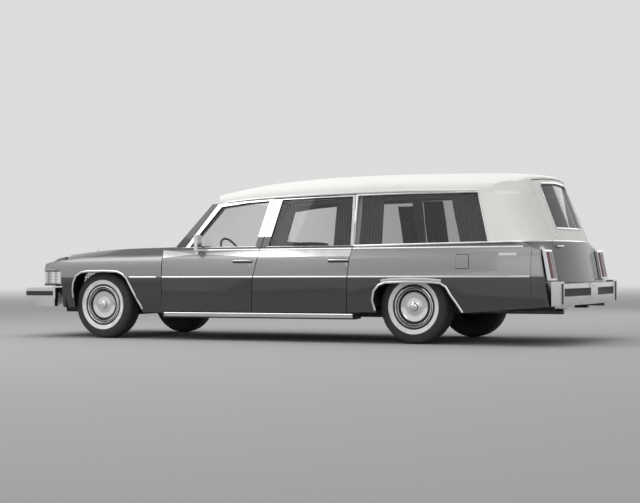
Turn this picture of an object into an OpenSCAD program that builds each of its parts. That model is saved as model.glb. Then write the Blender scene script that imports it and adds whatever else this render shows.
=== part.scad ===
// Hearse: a late-1970s full-size American coach, built as separate pieces that move.
// Axes: the car faces -Y, its left side is +X, +Z is up, and the ground is z = 0.
// The origin is on the ground, midway along and across the car.

/* [Overall] */
// Length over both bumpers
length = 6350; // [6200:10:6600]
// Distance between the front and rear axles
wheelbase = 3670; // [3600:10:3720]
// From the front of the bumper to the front axle
front_overhang = 1105; // [1080:5:1140]
// Width of the body at its widest line
body_w = 1980; // [1940:10:2060]
// Height of the roof's crown above the ground
roof_h = 1706; // [1670:5:1740]

/* [Wheels] */
// Outside radius of a tyre
tyre_r = 365; // [350:1:372]
// Width of a tyre
tyre_w = 224; // [205:1:230]
// Radius of the rim where the tyre's bead sits
rim_r = 196; // [180:1:205]
// Distance between the middles of the front tyres
track_f = 1567; // [1540:1:1600]
// Distance between the middles of the rear tyres
track_r = 1543; // [1520:1:1580]
// Radius of the spindles and axle ends that the wheels turn on
spindle_r = 28; // [20:1:34]
// How far the steering axis lies inside the middle of the front tyre
kingpin_in = 93; // [85:1:100]

/* [Body] */
// Height of the sill's lower edge
sill_z = 237; // [225:1:250]
// Height of the sill's upper edge, where the doors end
sill_top = 299; // [285:1:305]
// Height of the belt line, where the windows start
belt_z = 968; // [955:1:980]
// How far the side windows lean in from belt to drip rail
tumblehome = 125; // [90:1:140]
// Thickness of the outer body panels
panel_t = 28; // [20:1:36]
// Depth of a side door below its window
door_t = 115; // [90:1:130]
// Thickness of the door frame round a window
frame_t = 38; // [30:1:46]
// Half width of the rear door
gate_w = 590; // [560:5:610]
// Thickness of the window glass
glass_t = 6; // [4:0.5:8]

/* [Fits] */
// Gap between a door, lid or hood and the panels round it
gap = 6; // [5:0.5:7]
// Clearance round a pin, spindle or shaft that turns
run_gap = 0.3; // [0.3:0.1:0.6]
// Clearance round a piece that is bonded or seated in place
seat_gap = 0.2; // [0.1:0.05:0.4]

/* [Hidden] */
$fn = 48;

y_front = -length / 2;                 // front of the bumper
y_rear = length / 2;                   // back of the rear bumper
y_fa = y_front + front_overhang;       // front axle
y_ra = y_fa + wheelbase;               // rear axle
hw = body_w / 2;                       // half width at the widest line

// Colours
paint = [0.23, 0.24, 0.26];
vinyl = [0.82, 0.81, 0.77];
chrome = [0.80, 0.81, 0.83];
steel = [0.16, 0.16, 0.17];
cloth = [0.35, 0.35, 0.36];

// ---- Body lines, all measured from the axles ----
y_nose = y_fa - 801;                   // front of the fenders
y_hood_f = y_fa - 600;                 // front edge of the hood
y_hood_r = y_fa + 790;                 // rear edge of the hood
y_door1 = y_fa + 820;                  // gap ahead of the front door
y_b = y_fa + 1995;                     // gap between the doors, at the belt
y_c = y_fa + 3050;                     // gap behind the rear door, at the belt
y_gate = y_ra + 1389;                  // middle of the rear face at the belt
drip_z = belt_z + 510;                 // drip rail above the front door's rear edge
x_belt = hw - 65;                      // outside of the window line at the belt
x_drip = x_belt - tumblehome;          // outside of the window line at the drip rail
lean = 0.369;                          // how far the tailgate leans in, per unit of height
lean_low = 0.165;                      // the same below the belt

// Outside of the body side at height z, and the rear face's place at height z
side = [[sill_z, -45], [sill_z + 25, -18], [sill_top, -10], [450, -3], [662, 0], [690, -4],
    [840, -18], [868, -28], [948, -45], [belt_z, -65]];
function side_x(z) = z >= belt_z ? x_belt - tumblehome * (z - belt_z) / (drip_z - belt_z)
    : hw + lookup(z, side);
function rear_y(z) = z >= belt_z ? y_gate - lean * (z - belt_z) : y_gate + lean_low * (belt_z - z);
// How far the rear bodywork curves forward of its middle line, by share of its half width: the square
// fender ends below the belt and the round corners above it
bow_low = [[0, 0], [0.2, 6], [0.432, 24], [0.641, 53], [0.757, 57], [0.843, 58.5], [0.908, 60], [0.955, 62],
    [0.985, 70], [0.997, 100], [1, 420]];
bow_top = [[0, 0], [0.2, 6], [0.432, 24], [0.641, 53], [0.757, 78], [0.843, 112], [0.908, 155], [0.955, 205],
    [0.985, 270], [0.997, 340], [1, 420]];
function round_share(z) = min(1, max(0, (z - belt_z + 53) / 85));
function rear_at(x, z, in) = let (s = abs(x) / side_x(z), k = round_share(z))
    rear_y(z) - in - lookup(s, bow_low) * (1 - k) - lookup(s, bow_top) * k;
// Height of the drip rail, and of the roof's middle line, along the car
function drip(y) = lookup(y, [[y_fa + 1350, belt_z + 465], [y_fa + 1770, belt_z + 494],
    [y_b + 141, drip_z], [y_b + 575, drip_z + 12], [y_c, drip_z + 22],
    [y_ra - 100, drip_z + 25], [y_ra + 629, drip_z + 6], [y_gate, drip_z - 40]]);
function crown(y) = roof_h + lookup(y, [[y_fa + 1200, -206], [y_fa + 1270, -176], [y_fa + 1370, -144],
    [y_fa + 1670, -86], [y_fa + 1962, -47], [y_fa + 2270, -24], [y_fa + 2600, -9], [y_fa + 3070, 0],
    [y_ra - 185, 0], [y_ra + 584, -13], [y_ra + 900, -28], [y_ra + 1060, -42], [y_ra + 1140, -72]]);
// Top of the fender's crease and how far the fender tapers in, along the car
function crease(y) = lookup(y, [[y_nose, 812], [y_fa - 700, 832], [y_fa - 560, 846], [y_fa, 866],
    [y_door1, 877]]);
function taper(y) = lookup(y, [[y_nose, 118], [y_fa - 700, 84], [y_fa - 560, 52], [y_fa - 300, 24],
    [y_fa, 8], [y_fa + 400, 0]]);

// ---- Shapes used by many pieces ----
// A solid through closed rings of points, all with the same count. Seen from the first ring's end,
// each ring runs anticlockwise.
module loft(rings) {
    n = len(rings[0]);
    m = len(rings);
    polyhedron(points = [for (r = rings) each r],
        faces = concat([[for (i = [n - 1:-1:0]) i]], [[for (i = [0:n - 1]) (m - 1) * n + i]],
            [for (j = [0:m - 2], i = [0:n - 1])
                let (a = j * n + i, b = j * n + (i + 1) % n) each [[a, b, b + n], [a, b + n, a + n]]]),
        convexity = 8);
}
// A side-view outline [y, z] made solid between two distances across the car
module across(x0, x1, pts) {
    translate([x0, 0, 0]) rotate([90, 0, 90]) linear_extrude(x1 - x0) polygon(pts);
}
// A front-view outline [x, z] made solid between two places along the car
module along(y0, y1, pts) {
    translate([0, y1, 0]) rotate([90, 0, 0]) linear_extrude(y1 - y0) polygon(pts);
}
// A plain block between two corners
module block(a, b) { translate(a) cube(b - a); }
module both_sides() { children(); mirror([1, 0, 0]) children(); }
// A rod between two points
module rod(a, b, r) {
    d = b - a;
    translate(a) rotate([0, acos(d[2] / norm(d)), atan2(d[1], d[0])]) cylinder(h = norm(d), r = r);
}
// A bent pipe through points
module pipe(pts, r) {
    for (i = [0:len(pts) - 2]) rod(pts[i], pts[i + 1], r, $fn = 16);
    for (i = [1:len(pts) - 2]) translate(pts[i]) sphere(r = r, $fn = 16);
}
// Outlines of the side openings; e grows them on all sides
function b_line(z) = z > belt_z ? y_b + (z - belt_z) * 0.22 : y_b + lookup(z, [[285, -88], [450, -83],
    [640, -70], [735, -50], [belt_z, 0]]);
function c_line(z) = z > belt_z ? y_c - (z - belt_z) * 0.06 : y_c + lookup(z, [[285, -56], [531, -51],
    [735, -40], [850, -28], [belt_z, 0]]);
y_a0 = y_fa + 1080;                    // door's front edge on the windscreen pillar, at the belt
y_a1 = y_fa + 1420;                    // the same at the top
function front_door_line(e) = [[y_door1 - e, sill_top + gap - e], [y_door1 - e, belt_z + e],
    [y_a0 - e, belt_z + 7 + e], [y_a1 - e, drip(y_a1) - 12 + e], [y_fa + 1770, drip(y_fa + 1770) - 12 + e],
    [b_line(1466) - gap + e, drip(y_b + 100) - 12 + e], [b_line(belt_z) - gap + e, belt_z],
    [b_line(735) - gap + e, 735], [b_line(640) - gap + e, 640], [b_line(450) - gap + e, 450],
    [b_line(285) - gap + e, sill_top + gap - e]];
function rear_door_line(e) = [[b_line(285) - e, sill_top + gap - e], [b_line(450) - e, 450],
    [b_line(640) - e, 640], [b_line(735) - e, 735], [b_line(belt_z) - e, belt_z],
    [b_line(1466) - e, drip(y_b + 100) - 14 + e], [y_b + 575, drip(y_b + 575) - 14 + e],
    [c_line(1486) - gap + e, drip(y_c) - 14 + e], [c_line(belt_z) - gap + e, belt_z],
    [c_line(850) - gap + e, 850], [c_line(735) - gap + e, 735], [c_line(531) - gap + e, 531],
    [c_line(285) - gap + e, sill_top + gap - e]];
// Window openings as [y, z]; e grows them
function front_window(e) = [[y_fa + 1135 - e, belt_z + 8 - e], [y_fa + 1218 - e, belt_z + 126 + e / 2],
    [y_fa + 1463 - e / 2, belt_z + 429 + e], [y_fa + 1770, belt_z + 464 + e],
    [y_b + 38 + e, belt_z + 479 + e], [y_b - 73 + e, belt_z + 8 - e]];
function rear_window(e) = [[y_b + 79 - e, belt_z + 8 - e], [y_b + 189 - e, belt_z + 485 + e],
    [y_b + 575, belt_z + 496 + e], [y_c - 63 + e, belt_z + 501 + e], [y_c - 40 + e, belt_z + 8 - e]];
function quarter_window(e) = [[y_c + 2 - e, belt_z + 14 - e], [y_c - 8 - e, belt_z + 505 + e],
    [y_ra - 100, belt_z + 510 + e], [y_ra + 648 + e, belt_z + 506 + e], [y_ra + 790 + e, belt_z + 30 - e]];
function gate_window() = [[-398, belt_z + 165], [-391, 1544], [-355, 1558], [0, 1572], [355, 1558],
    [391, 1544], [398, belt_z + 165]];
function gate_line(e) = let (w = gate_w + e, half = [[w - 92, 1594 + e], [w - 58, 1578 + e / 2], [w - 40, 1550],
        [w, belt_z], [w, 860], [w - 8, 600 - e]])
    concat([for (i = [5:-1:0]) [-half[i][0], half[i][1]]], [[-250, 1611 + e], [0, 1617 + e], [250, 1611 + e]], half);
module gate_prism(e) { along(y_gate - 390, y_gate + 300, gate_line(e)); }
// A sheet that follows the rear face, between two depths behind it
module gate_slab(t0, t1) {
    xs = [700, 640, 590, 500, 400, 300, 200, 100, 0, -100, -200, -300, -400, -500, -590, -640, -700];
    loft([for (z = [1640, 1500, 1300, 1100, belt_z + 32, belt_z, 915, 760, 596])
        concat([for (x = xs) [x, rear_at(x, z, t0), z]], [for (x = [for (i = [16:-1:0]) xs[i]]) [x, rear_at(x, z, t1), z]])]);
}
// Everything behind the rear face
module behind_rear() {
    loft([for (z = [1800, 1640, 1500, 1400, 1300])
        concat([for (x = [-900:100:900]) [x, rear_at(x, z, 0), z]], [[900, y_rear + 300, z], [-900, y_rear + 300, z]])]);
}

arch_f = [[-325, 200], [-326, 365], [-346, 440], [-350, 523], [-336, 600], [-300, 668], [-236, 709],
    [-150, 719], [80, 721], [200, 717], [249, 715], [310, 690], [365, 648], [450, 500], [540, 345],
    [600, 200]];
module arch_front() { across(hw - 300, hw + 60, [for (p = arch_f) [y_fa + p[0], p[1]]]); }
arch_r = [[-324, 200], [-360, 330], [-388, 433], [-370, 520], [-320, 572], [-257, 596], [0, 604], [250, 598],
    [325, 591], [380, 560], [430, 480], [490, 400], [550, 313], [580, 200]];
module arch_rear() { across(hw - 300, hw + 60, [for (p = arch_r) [y_ra + p[0], p[1]]]); }

// ---- Chassis ----
rail_x = 480;                          // inside of a main rail
rail_w = 90;                           // width of a rail
rail_h = 120;                          // height of a rail
rail_z = 250;                          // underside of the main rails
floor_z = rail_z + rail_h;             // top of the rails, where the cabin floor lies
rear_floor_z = 560;                    // underside of the floor over the rear axle
kick_y = y_ra - 450;                   // where the rails rise towards the rear axle
module chassis_frame() color(steel) {
    rail = [[y_fa + 600, rail_z], [kick_y, rail_z], [y_ra - 270, 430], [y_ra + 400, 430],
        [y_ra + 560, 330], [y_ra + 1330, 330], [y_ra + 1330, 440], [y_ra + 590, 440],
        [y_ra + 440, 530], [y_ra - 310, 530], [kick_y + 14, floor_z], [y_fa + 600, floor_z]];
    both_sides() {
        across(rail_x, rail_x + rail_w, rail);
        block([360, y_fa - 810, 270], [450, y_fa + 720, 390]);
        for (y = [y_fa + 850, y_fa + 2050, kick_y - 340])
            block([rail_x + rail_w, y, 280], [ring_x, y + 70, floor_z]);
    }
    block([-rail_x - rail_w, y_fa + 600, rail_z], [rail_x + rail_w, y_fa + 720, 310]);
    block([-400, y_fa - 800, 290], [400, y_fa - 740, 370]);
    block([-400, y_fa - 50, 240], [400, y_fa + 50, 320]);
    for (y = [y_fa + 960, y_fa + 1960, kick_y - 140])
        block([-rail_x, y, rail_z], [rail_x, y + 60, 310]);
    for (y = [y_ra + 700, y_ra + 1210]) block([-rail_x, y, 345], [rail_x, y + 40, 430]);
}

// ---- Body ----
// One ring of the rear bodywork at height z: down the left side, round the back, up the right side
function wrap(z, off) = let (x = side_x(z) - off, y = rear_y(z) - off, k = round_share(z),
    half = concat([[x, y_c - 70]], [for (i = [10:-1:1]) let (s = bow_low[i][0] * (1 - k) + bow_top[i][0] * k)
        [x * s, y - bow_low[i][1] * (1 - k) - bow_top[i][1] * k]]))
    concat(half, [[0, y]], [for (i = [len(half) - 1:-1:0]) [-half[i][0], half[i][1]]]);
function wrap_ring(z) = let (o = wrap(z, 0), i = wrap(z, panel_t), n = len(o))
    concat([for (p = o) [p[0], p[1], z]], [for (k = [n - 1:-1:0]) [i[k][0], i[k][1], z]]);
side_post = 62;                        // depth of the pillars inside the doors
post_gap = 8;                          // space between a door's inside and the pillars
function post_x(z) = z >= belt_z ? side_x(z) - frame_t - post_gap : hw - door_t - post_gap - 3;
// Inside of the pillar ring at height z above the belt
function ring_in(z) = post_x(belt_z) - side_post + 8 + (post_x(drip_z + 24) - post_x(belt_z) + 12) * (z - belt_z) / (drip_z + 24 - belt_z);
module pillars() {
    // The inner ring that the doors close against: hinge post, sill, centre post, rail
    difference() {
        intersection() {
            along(y_door1, y_c + 30, [[post_x(300), sill_top - 8], [post_x(300), belt_z - 20],
                [post_x(belt_z), belt_z], [post_x(drip_z + 24), drip_z + 24],
                [post_x(drip_z + 24) - side_post + 20, drip_z + 24], [post_x(belt_z) - side_post + 8, belt_z],
                [post_x(300) - side_post, belt_z - 60], [post_x(300) - side_post, sill_top - 8]]);
            across(400, hw, [[y_door1 + 2, 200], [y_door1 + 2, belt_z - 15], [y_a0 - 125, belt_z + 4],
                [y_a1 - 55, drip(y_a1) + 6], [y_fa + 1770, drip(y_fa + 1770) + 10], [y_b + 141, drip_z + 12],
                [y_c + 40, drip_z + 26], [y_c + 40, 200]]);
        }
        across(400, hw, [[y_door1 + 90, floor_z + 20], [y_door1 + 90, belt_z - 30], [y_a0 + 40, belt_z + 10],
            [y_a1 + 40, drip(y_a1) - 60], [y_fa + 1770, drip(y_fa + 1770) - 46], [b_line(1440) - 44, drip_z - 42],
            [b_line(belt_z) - 44, belt_z], [b_line(640) - 50, 640], [b_line(400) - 50, floor_z + 20]]);
        across(400, hw, [[b_line(400) + 44, floor_z + 20], [b_line(640) + 44, 640], [b_line(belt_z) + 40, belt_z],
            [b_line(1440) + 40, drip_z - 40], [c_line(1450) - 44, drip_z - 24], [c_line(belt_z) - 46, belt_z],
            [c_line(531) - 50, 531], [c_line(400) - 50, floor_z + 20]]);
    }
}
module windscreen_posts() {
    // Outer face of the windscreen pillars, ahead of the front doors
    e = gap;
    intersection() {
        along(y_door1, y_fa + 1600, [[side_x(belt_z) - 2, belt_z], [side_x(drip_z) - 2, drip_z],
            [side_x(drip_z) - frame_t - 20, drip_z], [side_x(belt_z) - frame_t - 20, belt_z]]);
        across(500, hw, [[y_a0 - 120, belt_z + 7 + e], [y_a1 - 62, drip(y_a1) + 2], [y_a1 - e + 2, drip(y_a1) + 2],
            [y_a1 - e - 2, drip(y_a1) - 12], [y_a0 - e - 4, belt_z + 7 + e]]);
    }
}
module sill() {
    along(y_door1 - 2, y_c + 10, [[hw - 200, sill_z + 6], [hw - 45, sill_z], [hw - 18, sill_z + 25],
        [hw - 10, sill_top], [post_x(300), sill_top], [post_x(300), floor_z + 20],
        [post_x(300) - side_post, floor_z + 20], [post_x(300) - side_post, sill_z + 40], [hw - 200, sill_z + 40]]);
}
lug_gap = 0.6;                         // running clearance at a hinge
module bumper_slot() block([494, y_ra + 1280, 346], [556, y_rear, 430]);
module lock_pillar() {
    // Closes the space between the pillar ring and the rear side panel behind the rear door
    along(y_c + 6, y_c + 26, [[post_x(300) - 4, 320], [hw - 14, 320], [hw - 10, 662], [hw - 42, 868], [x_belt - 14, belt_z - 2],
        [post_x(belt_z) - 4, belt_z - 2], [post_x(300) - 4, belt_z - 44]]);
}
module hinge_lugs() {
    // The hinge leaves that reach from the posts to the inside of each side door
    for (z = [450, 780]) {
        block([post_x(300) - 2, y_door1 + 16, z], [hw - door_t - lug_gap, y_door1 + 74, z + 60]);
        block([post_x(300) - 2, b_line(z) + 17, z], [hw - door_t - lug_gap, b_line(z) + 40, z + 60]);
    }
}
ring_x = post_x(300) - side_post;      // inside of the hinge posts and sills
cowl_y0 = y_hood_r + gap;              // front of the cowl panel
cowl_y1 = y_door1 + 160;               // rear of the cowl panel, where the dashboard starts
function cowl_top(x) = belt_z + 16 - 34 * pow(x / ring_x, 2);
module cowl() {
    // Firewall, cowl top and the panels beside the footwell
    w = post_x(300) - 2;
    difference() {
        block([-w, y_door1 + 4, floor_z], [w, y_door1 + 24, belt_z - 88]);
        block([-tunnel_x - 8, y_door1, floor_z - 1], [tunnel_x + 8, y_door1 + 30, floor_z + tunnel_h]);
    }
    along(y_door1 - gap, cowl_y1, concat([[-w, belt_z - 90], [w, belt_z - 90]],
        [for (i = [8:-1:-8]) [w * i / 8, cowl_top(w * i / 8)]]));
    along(cowl_y0, y_door1, concat([[-hood_x, belt_z - 90], [hood_x, belt_z - 90]],
        [for (i = [8:-1:-8]) [hood_x * i / 8, cowl_top(hood_x * i / 8)]]));
}
// Everything above the roof's lower edge
module above_drip() {
    across(-hw - 50, hw + 50, concat([[y_fa, drip(y_fa) - roof_drop - run_gap]],
        [for (y = roof_ys) [y, drip(y) - roof_drop - run_gap]], [[y_rear, 2200], [y_fa, 2200]]));
}
module body_shell() color(paint) resize([0, 0, 0]) difference() {
    union() {
        difference() {
            loft([for (z = [drip_z + 24, drip_z, 1300, 1100, belt_z + 32, belt_z, 948, 915, 868, 840, 690, 662, 600, 450, 312])
                wrap_ring(z)]);
            // the lower edge rises towards the rear bumper
            across(-hw - 10, hw + 10, [[y_ra + 540, 200], [y_ra + 540, 312], [y_rear, 388], [y_rear, 200]]);
            gate_prism(-8);
            intersection() {
                gate_prism(gap);
                gate_slab(-60, 20.3);
            }
            both_sides() {
                bumper_slot();
                arch_rear();
                across(400, hw + 40, quarter_window(0));
                across(600, hw + 40, rear_door_line(gap));
            }
            block([hw - 200, fuel_y - lug_gap, fuel_z - gap], [hw + 40, fuel_y + fuel_w + gap, fuel_z + fuel_w + gap]);
        }
        both_sides() {
            pillars();
            windscreen_posts();
            sill();
            hinge_lugs();
            lock_pillar();
        }
        // The cup behind the fuel door, the rear door's hinge leaves
        block([side_x(800) - 90, fuel_y - 12, fuel_z - gap - 4],
            [side_x(800) - 40, fuel_y + fuel_w + gap + 4, fuel_z + fuel_w + gap + 4]);
        for (z = [862, 922]) intersection() {
            gate_slab(0, 20);
            block([-gate_w - gap - 4, y_gate - 500, z], [-gate_w - lug_gap, y_rear, z + 36]);
        }
        cowl();
    }
    above_drip();
}
tunnel_x = 130;                        // half width of the floor tunnel's top
tunnel_h = 160;                        // height of the floor tunnel
module floor_pan() color(steel) {
    t = 12;
    w = ring_x;
    tun = tunnel_x;
    th = tunnel_h;
    along(y_door1 + 24, kick_y, [[-w, floor_z], [-tun - 25, floor_z], [-tun, floor_z + th - t], [tun, floor_z + th - t],
        [tun + 25, floor_z], [w, floor_z], [w, floor_z + t], [tun + 33, floor_z + t], [tun + 8, floor_z + th],
        [-tun - 8, floor_z + th], [-tun - 33, floor_z + t], [-w, floor_z + t]]);
    difference() {
        block([-w, kick_y - 1, floor_z], [w, kick_y + t, rear_floor_z + t]);
        along(kick_y - 2, kick_y + t + 1, [[-tun - 29, floor_z - 1], [-tun - 4, floor_z + th - t + 4],
            [tun + 4, floor_z + th - t + 4], [tun + 29, floor_z - 1]]);
    }
    block([-house_x, kick_y, rear_floor_z], [house_x, y_ra + 1360, rear_floor_z + t]);
    both_sides() {
        x1 = side_x(800) - panel_t - 2;
        block([house_x - 2, y_ra + 448, rear_floor_z], [side_x(600) - panel_t - 24, y_ra + 1200, rear_floor_z + t]);
        block([house_x - t, kick_y, rear_floor_z], [house_x, y_ra + 460, house_z + t]);
        block([house_x - 2, kick_y, house_z], [x1, y_ra + 460, house_z + t]);
        block([house_x - 2, y_ra + 448, rear_floor_z + 2], [x1, y_ra + 460, house_z + 2]);
        block([house_x - 2, kick_y, rear_floor_z + 2], [x1, kick_y + t, house_z + 2]);
    }
}
house_x = 636;                         // inside of the rear wheelhouse
house_z = 2 * tyre_r + 55;             // underside of the rear wheelhouse's top

// ---- Roof: a padded shell from drip rail to drip rail ----
roof_drop = 5;                         // how far the roof's lower edge lies under the drip line
roof_side = 62;                        // thickness of the roof's edge
// Half width of the roof's lower edge along the car, which follows the rear corners' curve
function roof_x(y) = let (in = rear_y(drip_z - 32) - y,
    s = lookup(in, [for (p = bow_top) [p[1], p[0]]]), lip = lookup(y, [[y_ra + 560, 6], [y_ra + 760, 0]]))
    (side_x(drip_z) + lip) * max(s, 0.3);
function roof_ring(y, t) = let (d = drip(y), c = crown(y), x = roof_x(y))
    concat([for (a = [0:10:180]) let (s = sin(a), k = cos(a))
            [x * sign(k) * pow(abs(k), 0.62), y, d - roof_drop + (c - d + roof_drop) * pow(s, 0.78)]],
        [for (a = [180:-10:0]) let (s = sin(a), k = cos(a))
            [(x - roof_side) * sign(k) * pow(abs(k), 0.62), y, d - roof_drop + (c - d + roof_drop - t) * pow(s, 0.78)]]);
roof_ys = [y_fa + 1205, y_fa + 1240, y_fa + 1290, y_fa + 1370, y_fa + 1500, y_fa + 1670, y_fa + 1770, y_fa + 1962,
    y_b + 141, y_fa + 2350, y_b + 575, y_fa + 2800, y_c, y_fa + 3350, y_ra - 100, y_ra + 300, y_ra + 629, y_ra + 760,
    y_ra + 870, y_ra + 950, y_ra + 1010, y_ra + 1060, y_ra + 1100, y_ra + 1130, y_ra + 1150, y_ra + 1170];
module roof() color(vinyl) resize([0, 0, 0]) difference() {
    union() {
        loft([for (y = roof_ys) roof_ring(y, 34)]);
        // panel over the rear door
        intersection() {
            loft([for (y = [y_ra + 870, y_ra + 950, y_ra + 1010, y_ra + 1060, y_ra + 1100, y_ra + 1130, y_ra + 1150, y_ra + 1170])
                [for (i = [0:18]) roof_ring(y, 34)[i]]]);
            gate_slab(1, panel_t);
        }
    }
    // the windscreen header is curved in plan
    translate([0, 0, 1300]) linear_extrude(500) polygon(concat([[-1000, y_fa + 1000]],
        [for (x = [-900:100:900]) [x, header_y(x)]], [[1000, y_fa + 1000]]));
    // the rear is cut to the rear door's lean
    behind_rear();
    gate_prism(gap + 2);
}
function header_y(x) = y_fa + 1215 + 215 * pow(abs(x) / 800, 2.2);

module fixed_glass() color([0.55, 0.62, 0.64, 0.4]) resize([0, 0, 0]) {
    // Windscreen: a curved sheet from cowl to header
    n = 14;
    w0 = ring_in(belt_z + 22) - 2;
    z1 = drip(y_a1) - 7;
    w1 = ring_in(z1) - seat_gap;
    base = [for (i = [0:n]) let (x = w0 * (2 * i / n - 1))
        [x, cowl_y0 + 18 + 150 * pow(abs(x) / w0, 2.2), cowl_top(x) + 3 * seat_gap]];
    top = [for (i = [0:n]) let (x = w1 * (2 * i / n - 1)) [x, header_y(x) + 4, z1 + 38 * (1 - pow(x / w1, 2))]];
    loft([concat(top, [for (i = [n:-1:0]) top[i] + [0, glass_t, -2]]),
        concat(base, [for (i = [n:-1:0]) base[i] + [0, glass_t, 0]])]);
    both_sides() side_glass(quarter_window(-seat_gap), 14);
}
module side_glass(line, deep) {
    intersection() {
        along(y_fa, y_ra + 1300, [[side_x(belt_z) - deep, belt_z], [side_x(drip_z + 24) - deep, drip_z + 24],
            [side_x(drip_z + 24) - deep - glass_t, drip_z + 24], [side_x(belt_z) - deep - glass_t, belt_z]]);
        across(500, hw, line);
    }
}

// ---- Front end ----
// One ring of the front fender at y: up the outside, over the top, back inside
hood_x = hw - 255;                     // half width of the hood
function fender_ring(y, s) = let (k = taper(y), c = crease(y), t = panel_t, o = hw - k, xi = hood_x + gap,
    rise = 26 * min(1, max(0.2, (y - y_nose) / 500)))
    [for (p = [[o - 32, 286], [o - 5, 450], [o, 662], [o - 5, 760], [o - 14, c - 42], [o - 32, c], [o - 90, c + rise / 2],
        [xi, c + rise], [xi, c + rise - t], [o - 92, c + rise / 2 - t], [o - 52, c - t], [o - t - 14, c - 60],
        [o - t - 6, 740], [o - t, 662], [o - t - 4, 450], [o - t - 30, 286]]) [p[0] * s, y, p[1]]];
module front_fenders() color(paint) resize([0, 0, 0]) {
    ys = [y_nose, y_fa - 760, y_fa - 700, y_fa - 560, y_fa - 430, y_fa - 300, y_fa - 100, y_fa + 150, y_fa + 400, y_fa + 620, y_door1 - gap];
    both_sides() difference() {
        loft([for (y = ys) fender_ring(y, 1)]);
        arch_front();
        // lower edge ahead of the wheel, the bumper's end and the wrap-round lamp
        across(hw - 400, hw + 40, [[y_nose - 10, 200], [y_fa - 200, 200], [y_fa - 200, 332], [y_fa - 506, 336],
            [y_fa - 506, 570], [y_nose - 10, 570]]);
        block([hw - 300, y_nose - 10, lamp_z0], [hw + 40, y_fa - 520, lamp_z1]);
        // room for the tyre as it steers
        translate([track_f / 2 - kingpin_in, y_fa, 200]) cylinder(h = 400, r = norm([kingpin_in + tyre_w / 2, tyre_r]));
    }
}
lamp_z0 = 576;                         // underside of the headlamp opening
lamp_z1 = 748;                         // top of the headlamp opening
function hood_ring(y) = let (k = (y - y_hood_f) / (y_hood_r - y_hood_f), e = crease(y) + 26, t = 22,
    up = 52 + 40 * sin(90 * min(1, 1.4 * k)), m = 0.2 + 0.8 * min(1, k * 5))
    [for (p = [[-hood_x, e - 20], [-hood_x, e], [-hood_x + 110, e + up * 0.86], [-380, e + up * 0.97], [0, e + up + 6],
        [380, e + up * 0.97], [hood_x - 110, e + up * 0.86], [hood_x, e], [hood_x, e - 20], [hood_x - 26, e - 20],
        [hood_x - 126, e + up * 0.86 - t], [380, e + up * 0.97 - t], [0, e + up + 6 - t], [-380, e + up * 0.97 - t],
        [-hood_x + 126, e + up * 0.86 - t], [-hood_x + 26, e - 20]]) [-p[0], y, p[1]]];
module hood() color(paint) resize([0, 0, 0])
    loft([for (i = [0:7]) hood_ring(y_hood_f + (y_hood_r - y_hood_f) * i / 7)]);

module grille() color(chrome) {
    // Header panel ahead of the hood, the radiator grille and its surround
    gy = y_nose - 22;
    e = crease(y_hood_f) + 26;
    difference() {
        across(-hood_x - gap, hood_x + gap, [[y_hood_f - gap, e + 20], [y_hood_f - gap, e - 10], [y_nose + 60, 795], [y_nose + 60, 560],
            [y_nose + 20, 560], [y_nose + 20, lamp_z1], [y_nose, lamp_z1], [gy, lamp_z1 + 20], [y_nose - 4, crease(y_nose) + 6], [y_hood_f - 90, e + 6]]);
        block([-330, y_nose - 60, 575], [330, y_nose + 80, lamp_z1 + 26]);
        both_sides() for (x = [hood_x - 250, hood_x - 55]) translate([x, y_nose + 80, 662]) rotate([90, 0, 0]) cylinder(h = 120, r = 62);
    }
    block([-345, gy - 20, 562], [-322, y_nose + 20, lamp_z1 + 50]);
    block([322, gy - 20, 562], [345, y_nose + 20, lamp_z1 + 50]);
    block([-345, gy - 20, lamp_z1 + 26], [345, y_nose + 20, lamp_z1 + 56]);
    block([-345, gy - 20, shelf_z], [345, y_nose + 20, 570]);
    // rubber stops under the hood's front edge
    both_sides() across(340, 380, [[y_hood_f - gap - 10, e - 8], [y_hood_f + 16, e - 8], [y_hood_f + 16, e + 28],
        [y_hood_f + 2, e + 28], [y_hood_f + 2, e + 16], [y_hood_f - gap - 10, e + 16]]);
    for (i = [1:12]) block([-322 + 644 * i / 13 - 4, gy - 12, 570], [-322 + 644 * i / 13 + 4, y_nose + 16, lamp_z1 + 26]);
    for (i = [1:5]) block([-322, gy - 8, 570 + 204 * i / 6 - 4], [322, y_nose + 12, 570 + 204 * i / 6 + 4]);
}
module headlamps() color([0.85, 0.86, 0.88]) {
    both_sides() {
        for (x = [hood_x - 250, hood_x - 55]) translate([x, y_nose + 70, 662]) rotate([90, 0, 0]) cylinder(h = 62, r = 62 - seat_gap);
        // lamp wrapping round the fender's corner
        intersection() {
            loft([for (y = [y_nose + 2, y_fa - 700, y_fa - 560, y_fa - 522]) let (o = hw - taper(y))
                [[o - 110, y, lamp_z0 + 2], [o - 5, y, lamp_z0 + 2], [o - 5, y, lamp_z1 - 2], [o - 110, y, lamp_z1 - 2]]]);
            block([600, y_nose, lamp_z0], [hw, y_fa - 521, lamp_z1]);
        }
        block([hood_x + gap + run_gap, y_nose + 20, lamp_z0 + 2], [hw - 200, y_nose + 60, lamp_z1 - 2]);
    }
}
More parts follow.
